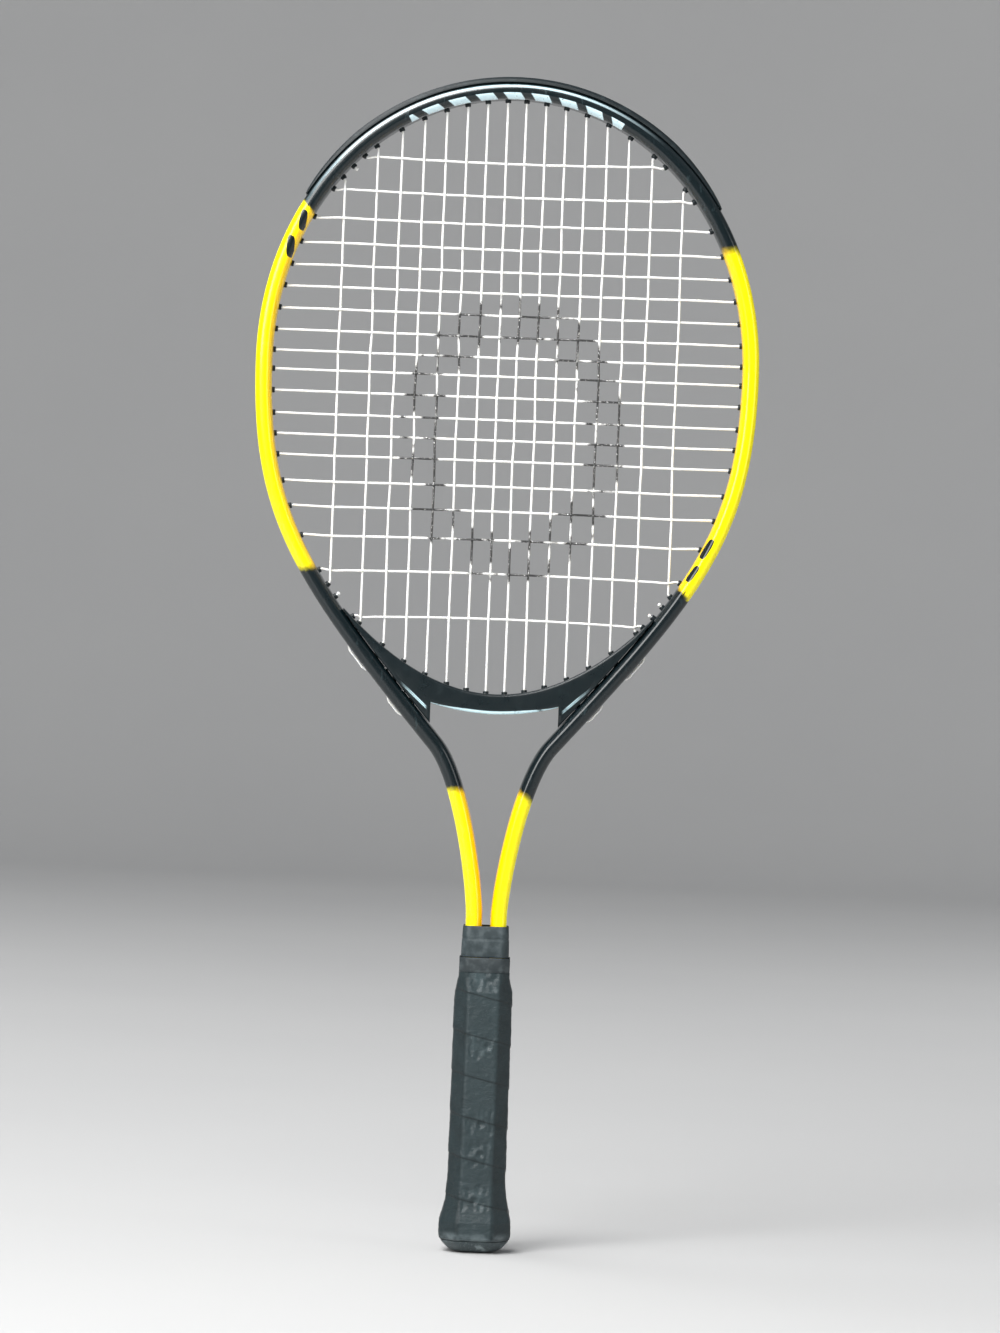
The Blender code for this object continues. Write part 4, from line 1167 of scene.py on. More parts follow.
    def knot_hole(self, first: Hole, second: Hole, share: float) -> Hole:
        """Gives the tie-off hole that share of the way from one hole to another.

        Args:
            first: The hole on one side.
            second: The hole on the other.
            share: How far from the first to the second, from 0 to 1.

        Returns:
            The tie-off hole.
        """
        out = self.hoop.at(first.s + (second.s - first.s) * share, 0)
        axis = unit((1 - share) * first.axis + share * second.axis)
        inward = out - axis * 3 * self.line.tube_width
        return Hole(self.hoop, inward + axis * self.reach(inward, axis)[0], axis)

    def hoop_holes(self) -> list[Hole]:
        """Lists the holes that pass through the hoop.

        Returns:
            The holes, mains before crosses and tie-offs last.
        """
        rows = [*self.main_tops, *self.main_bottoms, *self.cross_lefts, *self.cross_rights]
        rows += [*self.main_knots, *self.cross_knots]
        return [hole for hole in rows if hole.edge is self.hoop]

    def bridge_holes(self) -> list[Hole]:
        """Lists the holes that pass through the bridge alone."""
        return [hole for hole in self.main_bottoms if hole.edge is self.under]


# ------------------------------------------------------------------ the parts


@dataclass
class Hoop:
    """The painted tube: head and both shafts in one sweep."""

    bed: StringBed
    depth: float = 20 * MM
    step: float = 2.2 * MM
    left_arc: tuple[float, float] = (396, 606)
    right_arc: tuple[float, float] = (386, 586)
    shaft_tops: tuple[float, float] = (270, 264)

    def section(self) -> np.ndarray:
        """Draws the tube's section as (level, y), with rounded corners and the groove.

        Returns:
            The section's points.
        """
        d, w = self.depth / 2, self.bed.line.tube_width
        g, h = LEVELS.groove_depth, LEVELS.groove_half_width
        half = [
            (-g, -h, 0.4 * MM),
            (0, -h - 0.2 * MM, 0.45 * MM),
            (-0.02 * w, -0.72 * d, 1.4 * MM),
            (-0.25 * w, -0.97 * d, 1.5 * MM),
            (-0.68 * w, -d, 1.5 * MM),
            (-0.94 * w, -0.74 * d, 1.6 * MM),
            (-w, -0.3 * d, 1.9 * MM),
        ]
        return filleted(mirrored(half))

    def paint(self) -> HoopPaint:
        """Sets the paint's zones out along the tube, in millimetres from the apex.

        Returns:
            The paint.
        """
        edge = self.bed.hoop
        middle = edge.length / 2

        def along(z: float, side: int) -> float:
            """Gives the place of a height on one side."""
            return (edge.s_at_height(z * MM, side) - middle) / MM

        arcs = (
            (along(self.left_arc[0], -1), along(self.left_arc[1], -1), 3.2, 1.4),
            (along(self.right_arc[1], 1), along(self.right_arc[0], 1), 4.2, 1.8),
        )
        shafts = (-along(self.shaft_tops[0], -1), along(self.shaft_tops[1], 1))
        windows = (
            Window(along(597.0, -1), -6.1, 5.8, 2.2, 0.3),
            Window(along(581.0, -1), -6.3, 6.2, 2.4, 0.3),
            Window(along(412.8, 1), -7.2, 6.6, 1.75, -0.06),
            Window(along(397.8, 1), -7.2, 5.6, 1.6, -0.06),
        )
        splits = (
            (along(604, -1), along(612, -1), -4.4),
            (along(389, 1), along(380, 1), -5.0),
        )
        return HoopPaint(arcs=arcs, shafts=shafts, windows=windows, splits=splits)

    def build(self) -> None:
        """Sweeps the section along the centreline."""
        edge, section = self.bed.hoop, self.section()
        rings, along = [], []
        for s in edge.stations(0, edge.length, self.step):
            rings.append(edge.ring(s, section))
            along += [(s - edge.length / 2) / MM] * len(section)
        levels = np.tile(section[:, 0] / MM, len(rings))
        shape = skin(rings, along=np.array(along), level=levels)
        shape.build("hoop_tube", self.paint().material(), Slot.PAINT, ["frame_tube"])


@dataclass
class Bridge:
    """The moulded arc that closes the head above the throat."""

    bed: StringBed
    depth: float = 18 * MM
    rounding: float = 1.9 * MM
    step: float = 0.8 * MM
    groove_past_hole: float = 3.2 * MM
    tip_thickness: float = 0.9 * MM
    ledge: float = 1.1 * MM
    seat_reach: float = 60 * MM
    ledge_fade: float = 11 * MM
    ledge_line: tuple[float, float, float, float] = (39.0, 315.4, 60.0, 334.5)

    def seat(self, x: np.ndarray) -> np.ndarray:
        """Gives the height of the hoop's inner face at those distances from the middle.

        Args:
            x: The distances.

        Returns:
            The heights.
        """
        hoop = self.bed.hoop
        inset = hoop.surface - self.bed.line.tube_width - LEVELS.clearance
        inner = hoop.points + hoop.normals * inset
        x_row, z_row = inner[:, 0], inner[:, 1]
        rows = (x_row > 0) & (z_row < self.bed.wide_z) & (z_row > self.bed.top_z - self.seat_reach)
        lower = inner[rows]
        order = np.argsort(lower[:, 0])
        return np.interp(x, lower[order, 0], lower[order, 1])

    def build(self) -> None:
        """Lofts the bridge from one tip to the other."""
        bed = self.bed
        x = np.arange(0, 2 * self.seat_reach, self.step / 4)
        gap = bed.top_z + bed.top_curve * x**2 - self.seat(x)
        tip = x[np.nonzero((gap < self.tip_thickness) & (x > bed.foot_half_span))[0][0]]
        spread = max(abs(hole.bend[0]) for hole in bed.bridge_holes()) + self.groove_past_hole
        side = np.concatenate(
            [
                np.arange(0, bed.foot_half_span, self.step),
                [bed.foot_half_span - 0.01 * MM],
                np.arange(bed.foot_half_span, tip, self.step),
                [tip],
            ]
        )
        rings = []
        for place in np.concatenate([-side[:0:-1], side]):
            far = abs(place)
            top = bed.top_z + bed.top_curve * far**2
            under = top - bed.bridge_thickness + (bed.under_curve - bed.top_curve) * far**2
            bottom = under if far < bed.foot_half_span else float(self.seat(np.array([far]))[0])
            groove = LEVELS.groove_depth * (1 - ease(far, spread - 0.3 * MM, spread + 0.3 * MM))
            d, h = self.depth / 2, LEVELS.groove_half_width
            r = min(self.rounding, 0.42 * (top - bottom))
            line_x, line_z, end_x, end_z = (value * MM for value in self.ledge_line)
            mid = line_z + (far - line_x) * (end_z - line_z) / (end_x - line_x)
            mid = min(max(mid, bottom + 2.2 * r), top - 2.2 * r)
            sunk = self.ledge * ease(far, line_x - 1.5 * MM, line_x)
            sunk *= 1 - ease(far, line_x + self.ledge_fade, end_x)
            half = [
                (top, -d, r),
                (mid + 0.5 * MM, -d, 0.3 * MM),
                (mid - 0.5 * MM, -d + sunk, 0.3 * MM),
                (bottom, -d + sunk, r),
                (bottom, -h, 0.3 * MM),
                (bottom + groove, -h, 0.1 * MM),
            ]
            rings.append([(place, y, z) for z, y in filleted(mirrored(half))])
        under_z = bed.top_z - bed.bridge_thickness
        line = tuple(value * MM for value in self.ledge_line)
        # Its finish paints highlights along the lower front edge and the ledges.
        finish = BridgePlastic(
            "bridge_nylon",
            roughness=0.2,
            wear=0.2,
            under_z=under_z,
            under_curve=bed.under_curve,
            foot=bed.foot_half_span,
            ledge=line,
        )
        skin(rings).build("bridge", finish.material(), Slot.MOULDED, ["throat_bridge"], sharp=55)


@dataclass
class Grommets:
    """The bumper guard, the side strips and the bridge's own strip, with their barrels."""

    bed: StringBed
    bore: float = 1.1 * MM
    bumper_thickness: float = 3.3 * MM
    bumper_half_width: float = 7.4 * MM
    channel: float = 2.9 * MM
    ridge: float = 2.2 * MM
    end_share: float = 0.25
    taper: float = 45 * MM
    rows: int = 2
    end_past_hole: float = 9 * MM
    bridge_end_past_hole: float = 2.7 * MM
    lip: float = 0.25 * MM
    sides: int = 14
    step: float = 2.4 * MM

    def bumper_range(self) -> tuple[float, float]:
        """Finds where the guard starts and ends, half way between two string holes.

        Returns:
            Both places along the hoop.
        """
        inside, outside = self.bed.cross_rights[self.rows - 1 : self.rows + 1]
        end = (inside.s + outside.s) / 2
        return self.bed.hoop.length - end, end

    def bumper_section(self, s: float) -> np.ndarray:
        """Draws the guard's section at s as (level, y); it thins out toward its ends.

        Args:
            s: The place along the hoop.

        Returns:
            The section's points.
        """
        start, end = self.bumper_range()
        margin = min(1.0, max(0.0, min(s - start, end - s) / self.taper))
        share = self.end_share + (1 - self.end_share) * margin**0.6
        foot, high = LEVELS.clearance, LEVELS.clearance + self.bumper_thickness * share
        lip = LEVELS.groove_half_width - LEVELS.clearance
        wide, flat = self.bumper_half_width, self.channel
        half = [
            (LEVELS.base, -lip, 0.2 * MM),
            (foot, -lip, 0.2 * MM),
            (foot, -wide, 0.25 * MM),
            (foot + 0.6 * self.bumper_thickness * share, -wide + 0.4 * MM, 0.7 * MM),
            (high, -flat - self.ridge, 0.7 * MM),
            (high - 0.3 * MM * share, -flat, 0.3 * MM),
            (LEVELS.base + LEVELS.strip_thickness, -flat, 0.2 * MM),
        ]
        return filleted(mirrored(half))

    def strip_section(self, _: float) -> np.ndarray:
        """Draws the plain strip's section as (level, y).

        Args:
            _: The place along the edge, which makes no difference.

        Returns:
            The section's points.
        """
        top = LEVELS.base + LEVELS.strip_thickness
        w = LEVELS.groove_half_width - LEVELS.clearance
        cut = 0.25 * MM
        return filleted(mirrored([(LEVELS.base, -w, cut), (top, -w, cut)]))

    def barrel(self, shape: Shape, hole: Hole) -> None:
        """Adds one barrel, with a rounded lip round its bore.

        Args:
            shape: The strip that the barrel belongs to.
            hole: The hole that it lines.
        """
        base = hole.point_at(LEVELS.base + LEVELS.strip_thickness / 2)
        depth = float(np.linalg.norm(base - hole.mouth))
        wall = LEVELS.barrel_radius
        lip = self.lip
        profile = [
            (12 * lip, self.bore),
            (1.4 * lip, self.bore),
            (0.4 * lip, self.bore + 0.32 * lip),
            (0, self.bore + lip),
            (0.08 * lip, wall - lip),
            (lip, wall),
            (3.2 * lip, wall),
            (depth, wall),
        ]
        axis, side = hole.axis, np.array([-hole.axis[1], hole.axis[0]])
        rings = []
        for along, radius in profile:
            centre = hole.mouth + axis * along
            ring = []
            for turn in np.linspace(0, 2 * math.pi, self.sides, endpoint=False):
                flat = centre + side * radius * math.cos(turn)
                ring.append((flat[0], radius * math.sin(turn), flat[1]))
            rings.append(ring)
        shape.loft(rings)

    def strip(
        self,
        name: str,
        node: str,
        edge: EdgeLine,
        reach: tuple[float, float],
        section: Callable[[float], np.ndarray],
        holes: Sequence[Hole],
    ) -> None:
        """Builds one strip with its barrels.

        Args:
            name: The piece's name.
            node: The CAD node that it replaces.
            edge: The edge that it lies along.
            reach: Where along the edge it starts and ends.
            section: Its section as a function of the place along the edge.
            holes: The holes that it lines.
        """
        shape = skin([edge.ring(s, section(s)) for s in edge.stations(*reach, self.step)])
        for hole in holes:
            self.barrel(shape, hole)
        finish = MouldedPlastic(name + "_nylon", roughness=0.36, wear=0.55)
        shape.build(name, finish.material(), Slot.MOULDED, [node])

    def build(self) -> None:
        """Builds all four strips."""
        hoop, under = self.bed.hoop, self.bed.under
        start, end = self.bumper_range()
        holes = self.bed.hoop_holes()
        top = [hole for hole in holes if start < hole.s < end]
        self.strip("bumper", "bumper_guard", hoop, (start, end), self.bumper_section, top)
        left = [hole for hole in holes if hole.s <= start]
        right = [hole for hole in holes if hole.s >= end]
        low = min(hole.s for hole in left) - self.end_past_hole
        high = max(hole.s for hole in right) + self.end_past_hole
        gap, plain = LEVELS.clearance, self.strip_section
        reach = (low, start - gap)
        self.strip("side_strip_left", "grommet_strip_left", hoop, reach, plain, left)
        reach = (end + gap, high)
        self.strip("side_strip_right", "grommet_strip_right", hoop, reach, plain, right)
        holes = self.bed.bridge_holes()
        spread = max(abs(hole.bend[0]) for hole in holes) + self.bridge_end_past_hole
        reach = (under.length / 2 - spread, under.length / 2 + spread)
        self.strip("bridge_strip", "bridge_grommet_strip", under, reach, plain, holes)


@dataclass
class Strings:
    """The main and the cross string, each one continuous woven length with its loops and knots."""

    bed: StringBed
    radius: float = LEVELS.string_radius
    main_lift: float = 0.52 * MM
    cross_lift: float = 0.82 * MM
    lane_y: float = 1.85 * MM
    bow_top: float = -1.6 * MM
    bow_bottom: float = 1.8 * MM
    bow_mean: float = 0.6
    proud_below: float = 362 * MM
    proud: float = 1.3 * MM
    drift: float = 0.9 * MM
    drift_pattern: tuple[float, float, float] = (1.7, 0.45, 3.1)
    step: float = 1.7 * MM
    sides: int = 8
    inward: float = 2.2 * MM
    loop_end: float = 0.9 * MM
    loop_settle: float = 3.6 * MM
    loop_step: float = 6 * MM
    loop_sink: float = 1.0 * MM
    knot: tuple[tuple[float, float], ...] = ((0.1, 1), (0.4, 1), (0.8, 1.5), (1.8, 1.5), (2.2, 0.8))

    def crossing(self, row: int, column: int) -> np.ndarray:
        """Gives the (x, z) point where a cross string passes a main string.

        Args:
            row: The cross, counted from the top.
            column: The main, counted from the left.

        Returns:
            The point.
        """
        x, z = self.bed.main_x[column], self.bed.cross_z[row]
        half = abs(self.bed.cross_rights[row].bend[0])
        bow = self.bow_top + (self.bow_bottom - self.bow_top) * row / (len(self.bed.cross_z) - 1)
        main, cross = self.bed.main_tops[column], self.bed.main_bottoms[column]
        share = (z - cross.bend[1]) / (main.bend[1] - cross.bend[1])
        belly = math.sin(math.pi * min(1.0, max(0.0, share)))
        across, up, start = self.drift_pattern
        waver = noise.noise(Vector((column * across, row * up, start)))
        rise = bow * (max(0.0, 1 - (x / half) ** 2) - self.bow_mean)
        return np.array([x + self.drift * belly * waver, z + rise])

    def crossings(self, row: int) -> list[int]:
        """Lists the columns that a cross string meets.

        Args:
            row: The cross, counted from the top.

        Returns:
            The columns, from the left.
        """
        left, right = self.bed.cross_lefts[row].bend[0], self.bed.cross_rights[row].bend[0]
        z, past = self.bed.cross_z[row], 2 * self.radius
        met = []
        for column, x in enumerate(self.bed.main_x):
            high, low = self.bed.main_tops[column].bend[1], self.bed.main_bottoms[column].bend[1]
            if left + past < x < right - past and low - past < z < high + past:
                met.append(column)
        return met

    def wave(self, places: list[np.ndarray], lifts: list[float], ends: tuple[Hole, Hole]) -> list:
        """Lays a run across the bed, over and under, from one hole to the other.

        Args:
            places: The crossings' (x, z) points.
            lifts: How far each one stands in front (negative) or behind.
            ends: The holes that the run joins.

        Returns:
            The run's (x, y, z, radius) points.
        """
        first, last = ends
        run = [(*place, lift) for place, lift in zip(places, lifts)]
        filled = []
        for k, point in enumerate(run):
            filled.append(point)
            if k + 1 < len(run):
                after = run[k + 1]
                filled.append(tuple((np.array(point) + np.array(after)) / 2))
        start = first.bend + unit(np.array(filled[0][:2]) - first.bend) * self.inward
        stop = last.bend + unit(np.array(filled[-1][:2]) - last.bend) * self.inward
        points = [(*first.bend, 0.0), (*start, 0.0)]
        for point in filled:
            nearest = min(math.dist(point[:2], end.bend) for end in ends)
            if nearest > self.inward:
                points.append(point)
        points += [(*stop, 0.0), (*last.bend, 0.0)]
        return [(x, y, z, self.radius) for x, z, y in points]

    def loop(self, first: Hole, second: Hole, lane: float) -> list:
        """Lays the string outside the hoop or under the bridge, from one hole to the next.

        Args:
            first: The hole that it comes out of.
            second: The hole that it goes into.
            lane: The y of its lane.

        Returns:
            The loop's (x, y, z, radius) points.
        """
        sign = 1 if second.s > first.s else -1
        span = abs(second.s - first.s)
        settle = min(self.loop_settle, 0.3 * span)
        steps = max(1, math.ceil((span - 2 * settle) / self.loop_step))
        straight = [settle + (span - 2 * settle) * k / steps for k in range(steps + 1)]
        along = [self.loop_end, *straight, span - self.loop_end]
        points = []
        for hole, outward in ((first, True), (second, False)):
            inner = hole.bend + hole.axis * self.inward
            pair = [inner, hole.point_at(LEVELS.lane - self.loop_sink)]
            ends = [(x, 0.0, z) for x, z in (pair if outward else pair[::-1])]
            if not outward:
                for k, place in enumerate(along):
                    x, z = first.edge.at(first.s + sign * place, LEVELS.lane)
                    inside = 0 < k < len(along) - 1
                    if inside and z < self.proud_below and first.edge is self.bed.hoop:
                        x, z = first.edge.at(first.s + sign * place, LEVELS.lane + self.proud)
                    points.append((x, lane if inside else 0.4 * lane, z))
            points += ends
        return [(*point, self.radius) for point in points]

    def knot_end(self, hole: Hole) -> list:
        """Gives the points of the knot at a tail's end, from the barrel out.

        Args:
            hole: The tie-off hole.

        Returns:
            The knot's (x, y, z, radius) points.
        """
        points = []
        for along, swell in self.knot:
            x, z = hole.mouth - hole.axis * along * MM
            points.append((x, 0.0, z, self.radius * swell))
        return points

    def cord(
        self,
        name: str,
        node: str,
        runs: list[tuple[list, tuple[Hole, Hole]]],
        knots: tuple[Hole, Hole],
        lane: float,
        material: bpy.types.Material,
    ) -> None:
        """Builds one string from its runs.

        Args:
            name: The piece's name.
            node: The CAD node that it replaces.
            runs: Each run's points and holes, in order.
            knots: The tie-off holes at its ends.
            lane: The y of its loops outside.
            material: Its finish.
        """
        points = self.knot_end(knots[0])[::-1] + self.loop(knots[0], runs[0][1][0], lane)
        for k, (run, ends) in enumerate(runs):
            points += run
            after = runs[k + 1][1][0] if k + 1 < len(runs) else knots[1]
            points += self.loop(ends[1], after, lane)
        points += self.knot_end(knots[1])
        path = spread_curve(np.array(points), self.step)
        rings = tube_rings(path[:, :3], path[:, 3], self.sides)
        skin(rings).build(name, material, Slot.STRING, [node])

    def build(self) -> None:
        """Builds the main string up and down and the cross string from side to side."""
        bed, material = self.bed, StringGut().material()
        met = {row: self.crossings(row) for row in range(len(bed.cross_z))}
        mains, crosses = [], []
        for column in range(len(bed.main_x)):
            rows = [row for row in reversed(range(len(bed.cross_z))) if column in met[row]]
            places = [self.crossing(row, column) for row in rows]
            lifts = [self.main_lift * (-1 if (row + column) % 2 else 1) for row in rows]
            ends = (bed.main_bottoms[column], bed.main_tops[column])
            run = self.wave(places, lifts, ends)
            mains.append((run, ends) if column % 2 == 0 else (run[::-1], ends[::-1]))
        for row, columns in met.items():
            places = [self.crossing(row, column) for column in columns]
            lifts = [self.cross_lift * (1 if (row + column) % 2 else -1) for column in columns]
            ends = (bed.cross_lefts[row], bed.cross_rights[row])
            run = self.wave(places, lifts, ends)
            crosses.append((run, ends) if row % 2 == 0 else (run[::-1], ends[::-1]))
        self.cord("string_main", "main_string", mains, bed.main_knots, -self.lane_y, material)
        self.cord("string_cross", "cross_string", crosses, bed.cross_knots, self.lane_y, material)


@dataclass(frozen=True)
class Dent:
    """A small round dimple in the tape, with a rim, in a creased and polished square patch."""

    x: float
    z: float
    radius: float = 1.7 * MM
    depth: float = 0.9 * MM
    rim_share: float = 0.45
    rim_at: float = 1.7
    rim_width: float = 0.5
    patch_half_width: float = 8.4 * MM
    patch_half_height: float = 7.2 * MM
    patch_lift: float = 1 * MM
    ragged: float = 0.5
    crease: float = 0.7 * MM
    sink: float = 0.25 * MM

    def press(self, place: Vector) -> tuple[float, float]:
        """Works out what the dimple and its patch do to a point of the tape.

        Args:
            place: The point.

        Returns:
            How far it moves outward, and how polished it is.
        """
        far = math.hypot(place.x - self.x, place.z - self.z) / self.radius
        rim = (far - self.rim_at) / self.rim_width
        bowl = self.depth * (self.rim_share * math.exp(-(rim**2)) - math.exp(-(far**2)))
        across = abs(place.x) / self.patch_half_width
        up = abs(place.z - self.z - self.patch_lift) / self.patch_half_height
        square = max(across, up) + self.ragged * noise.noise(place * 190)
        inside = 1 - ease(square, 0.82, 1.0)
        crease = noise.noise(Vector((place.x * 330, 2, place.z * 170 + self.z * 900)))
        return bowl + inside * (self.crease * crease - self.sink), inside


@dataclass
class Handle:
    """Grip tape, finishing band, rubber collar and butt cap."""

    half_width: float = 15.0 * MM
    half_depth: float = 13.6 * MM
    neck_half_width: float = 13.3 * MM
    bevel: float = 6.6 * MM
    neck_bevel: float = 3.4 * MM
    pitch: float = 24 * MM
    ledge: float = 0.45 * MM
    ledge_steepness: float = 24
    padding: float = 0.22 * MM
    wrinkles: float = 0.16 * MM
    most_lift: float = 0.3 * MM
    tape_rounding: float = 1.7 * MM
    inner_rounding: float = 1.2 * MM
    band_rounding: float = 1.6 * MM
    band_swell: tuple[float, float] = (1.3 * MM, 1.45 * MM)
    band_edge: float = 0.25 * MM
    collar_room: tuple[float, float] = (12.4 * MM, 10.3 * MM)
    collar_bevel: float = 2.2 * MM
    collar_wall: float = 0.9 * MM
    around: int = 192
    plain_around: int = 96
    step: float = 0.8 * MM
    cap_profile: tuple[tuple[float, float], ...] = (
        (0, -6.3), (0.35, -4.1), (0.8, -2.5), (1.6, -0.5), (2.6, 0.8), (3.6, 1.9), (4.6, 2.8),
        (5.8, 3.9), (6.6, 4.55), (7.0, 4.7), (7.05, 3.4), (13, 4.0), (18, 4.0), (27, 1.8),
    )
    tape_profile: tuple[tuple[float, float, float], ...] = (
        (7.35, 0, 4.7), (8.2, 0, 5.5), (10, 0, 5.95), (13, 0, 6.1), (18, 0, 6.0), (23, 0, 4.7),
        (30, 0, 3.2), (36, 0, 2.55), (42, 0, 2.1), (60, 0, 2.1), (100, 0, 2.1), (146, 0, 2.1),
        (152, 0.12, 2.05), (160, 1, 1.6), (163.0, 1, 1.5), (163.15, 1, 0.75), (169.2, 1, 0.7),
    )
    collar_profile: tuple[tuple[float, float], ...] = (
        (0, 0.5), (0.6, 0.7), (9, 0.47), (9.7, 0.42), (9.95, 0.2), (11.1, 0.2), (11.4, 0.28),
        (12, 0.3), (17.4, 0.03), (18, -0.25),
    )
    dents: tuple[Dent, ...] = (
        Dent(1.2 * MM, 75.2 * MM),
        Dent(1.8 * MM, 57.7 * MM),
        Dent(-0.6 * MM, 30.9 * MM, 1.6 * MM, 0.8 * MM),
        Dent(3.6 * MM, 120.5 * MM),
        Dent(2.4 * MM, 158.0 * MM, 1.5 * MM, 0.5 * MM),
    )

    def ring(self, z: float, neck: float, grow: float, cut: float, count: int) -> np.ndarray:
        """Draws a handle section.

        Args:
            z: Its height.
            neck: 0 for the full handle, 1 for its narrower top.
            grow: How far it stands out from the pallets.
            cut: How far from each corner the rounding starts.
            count: How many points it gets, evenly spread.

        Returns:
            The ring's points.
        """
        w = self.half_width + (self.neck_half_width - self.half_width) * neck
        d = w - (self.half_width - self.half_depth) + grow
        b = self.bevel + (self.neck_bevel - self.bevel) * neck + (2 - math.sqrt(2)) * grow
        w += grow
        return self.octagon(w, d, b, z, cut, count)

    def octagon(self, w: float, d: float, b: float, z: float, cut: float, count: int) -> np.ndarray:
        """Draws a rounded octagon.

        Args:
            w: Half its width.
            d: Half its depth.
            b: The width of its corner bevels.
            z: Its height.
            cut: How far from each corner the rounding starts.
            count: How many points it gets, evenly spread.

        Returns:
            The ring's points.
        """
        corners = [(w, -d + b), (w, d - b), (w - b, d), (-w + b, d)]
        corners += [(-x, -y) for x, y in corners]
        outline = filleted([(x, y, cut) for x, y in corners], 7)
        closed = np.vstack([outline, outline[:1]])
        steps = np.hypot(*np.diff(closed, axis=0).T)
        marks = np.concatenate([[0], np.cumsum(steps)])
        places = np.linspace(0, marks[-1], count, endpoint=False)
        flat = [np.interp(places, marks, closed[:, k]) for k in (0, 1)]
        return np.stack([*flat, np.full(count, z)], axis=1)

    def tape_rings(self) -> tuple[list[np.ndarray], np.ndarray]:
        """Wraps the tape: ledges where it overlaps, dimples, pulls and wear.

        Returns:
            The rings and how polished each point is.
        """
        table = np.array(self.tape_profile) * [MM, 1, MM]
        regular = np.arange(table[0, 0], table[-1, 0], self.step)
        rings, polish = [], []
        for z in np.unique(np.concatenate([regular, table[:, 0]])):
            neck, grow = (float(np.interp(z, table[:, 0], table[:, k])) for k in (1, 2))
            ring = self.ring(z, neck, grow, self.tape_rounding, self.around)
            ahead = np.roll(ring, -1, axis=0) - np.roll(ring, 1, axis=0)
            out = np.stack([ahead[:, 1], -ahead[:, 0]], axis=1)
            out /= np.linalg.norm(out, axis=1)[:, None]
            turn = np.arctan2(ring[:, 1], ring[:, 0]) / (2 * math.pi)
            wound = (z / self.pitch + turn) % 1.0
            fade = ease(z, 9 * MM, 14 * MM) * (1 - ease(z, 157 * MM, 162 * MM))
            rise = np.clip((1 - wound) * self.ledge_steepness, 0, 1)
            lift = -self.ledge * wound**1.3 * rise * fade
            shine = np.zeros(len(ring))
            for k, point in enumerate(ring):
                place = Vector(point)
                lift[k] += self.unevenness(place) * fade
                if place.y < 0:
                    presses = [dent.press(place) for dent in self.dents]
                    lift[k] += sum(press[0] for press in presses)
                    shine[k] = max(press[1] for press in presses)
            lift = np.minimum(lift, self.most_lift)
            rings.append(np.column_stack([ring[:, :2] + out * lift[:, None], ring[:, 2]]))
            polish.append(shine)
        return rings, np.concatenate(polish)

    def unevenness(self, place: Vector) -> float:
        """Works out how far the tape's padding and wrinkles move a point outward.

        Args:
            place: The point.

        Returns:
            The distance.
        """
        padding = noise.noise(place * 120)
        wrinkles = noise.noise(Vector((place.x * 260, place.y * 260, place.z * 420)))
        return self.padding * padding + self.wrinkles * wrinkles

    def tape(self) -> None:
        """Builds the wound tape as a sleeve, with its plain inside."""
        rings, polish = self.tape_rings()
        top, bottom = rings[-1][0][2], rings[0][0][2]
        inner = (
            (top, 1.0, 0.25 * MM), (146 * MM, 0.0, 0.25 * MM), (30 * MM, 0.0, 0.25 * MM),
            (bottom, 0.0, 3.7 * MM),
        )
        inside = [self.ring(*row, self.inner_rounding, self.around) for row in inner]
        polish = np.concatenate([polish, np.zeros(len(inside) * self.around)])
        shape = skin(rings + inside, looped=True, polish=polish)
        finish = GripTape(pitch=self.pitch)
        shape.build("grip", finish.material(), Slot.TAPE, ["grip_tape"], sharp=70)

    def band(self) -> None:
        """Builds the band round the top of the tape."""
        low, high = (corner.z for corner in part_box("finishing_band"))
        edge, full = self.band_swell
        levels = (
            (low, edge), (low + self.band_edge, full), (high - self.band_edge, full), (high, edge),
            (high, 1.0 * MM), (low, 1.0 * MM),
        )
        count, cut = self.plain_around, self.band_rounding
        rings = [self.ring(z, 1, grow, cut, count) for z, grow in levels]
        finish = Rubber("band_vinyl", (0.020, 0.028, 0.031, 1), (0.058, 0.072, 0.076, 1))
        shape = skin(rings, looped=True)
        shape.build("band", finish.material(), Slot.RUBBER, ["finishing_band"])

    def collar(self) -> None:
        """Builds the rubber collar over the top of the handle."""
        low, high = (corner.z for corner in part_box("rubber_collar"))
        (width, depth), count = self.collar_room, self.plain_around
        rings = []
        for z, swell in self.collar_profile:
            wall = self.collar_wall + swell * MM
            b = self.collar_bevel + (2 - math.sqrt(2)) * wall
            rings.append(self.octagon(width + wall, depth + wall, b, low + z * MM, 1.3 * MM, count))
        for z in (high, low):
            rings.append(self.octagon(width, depth, self.collar_bevel, z, 0.9 * MM, count))
        finish = Rubber("collar_rubber", (0.024, 0.036, 0.040, 1), (0.062, 0.080, 0.085, 1))
        shape = skin(rings, looped=True)
        shape.build("collar", finish.material(), Slot.RUBBER, ["rubber_collar"])

    def cap(self) -> None:
        """Builds the butt cap, a cup round the handle's foot."""
        count = self.plain_around
        rings = [self.ring(z * MM, 0, grow * MM, 2.4 * MM, count) for z, grow in self.cap_profile]
        rings += [self.ring(z * MM, 0, 0.3 * MM, 1.2 * MM, count) for z in (27, 2.4)]
        # The cap's pale streaks are rubbed wear and also a painted sheen on the butt's foot.
        colour, rubbed = (0.045, 0.062, 0.067, 1), (0.24, 0.29, 0.30, 1)
        finish = MouldedPlastic("cap_shell", colour, rubbed, roughness=0.26, wear=1.0)
        skin(rings).build("cap", finish.material(), Slot.CAP, ["butt_cap"])

    def build(self) -> None:
        """Builds the four pieces of the handle."""
        self.tape()
        self.band()
        self.collar()
        self.cap()


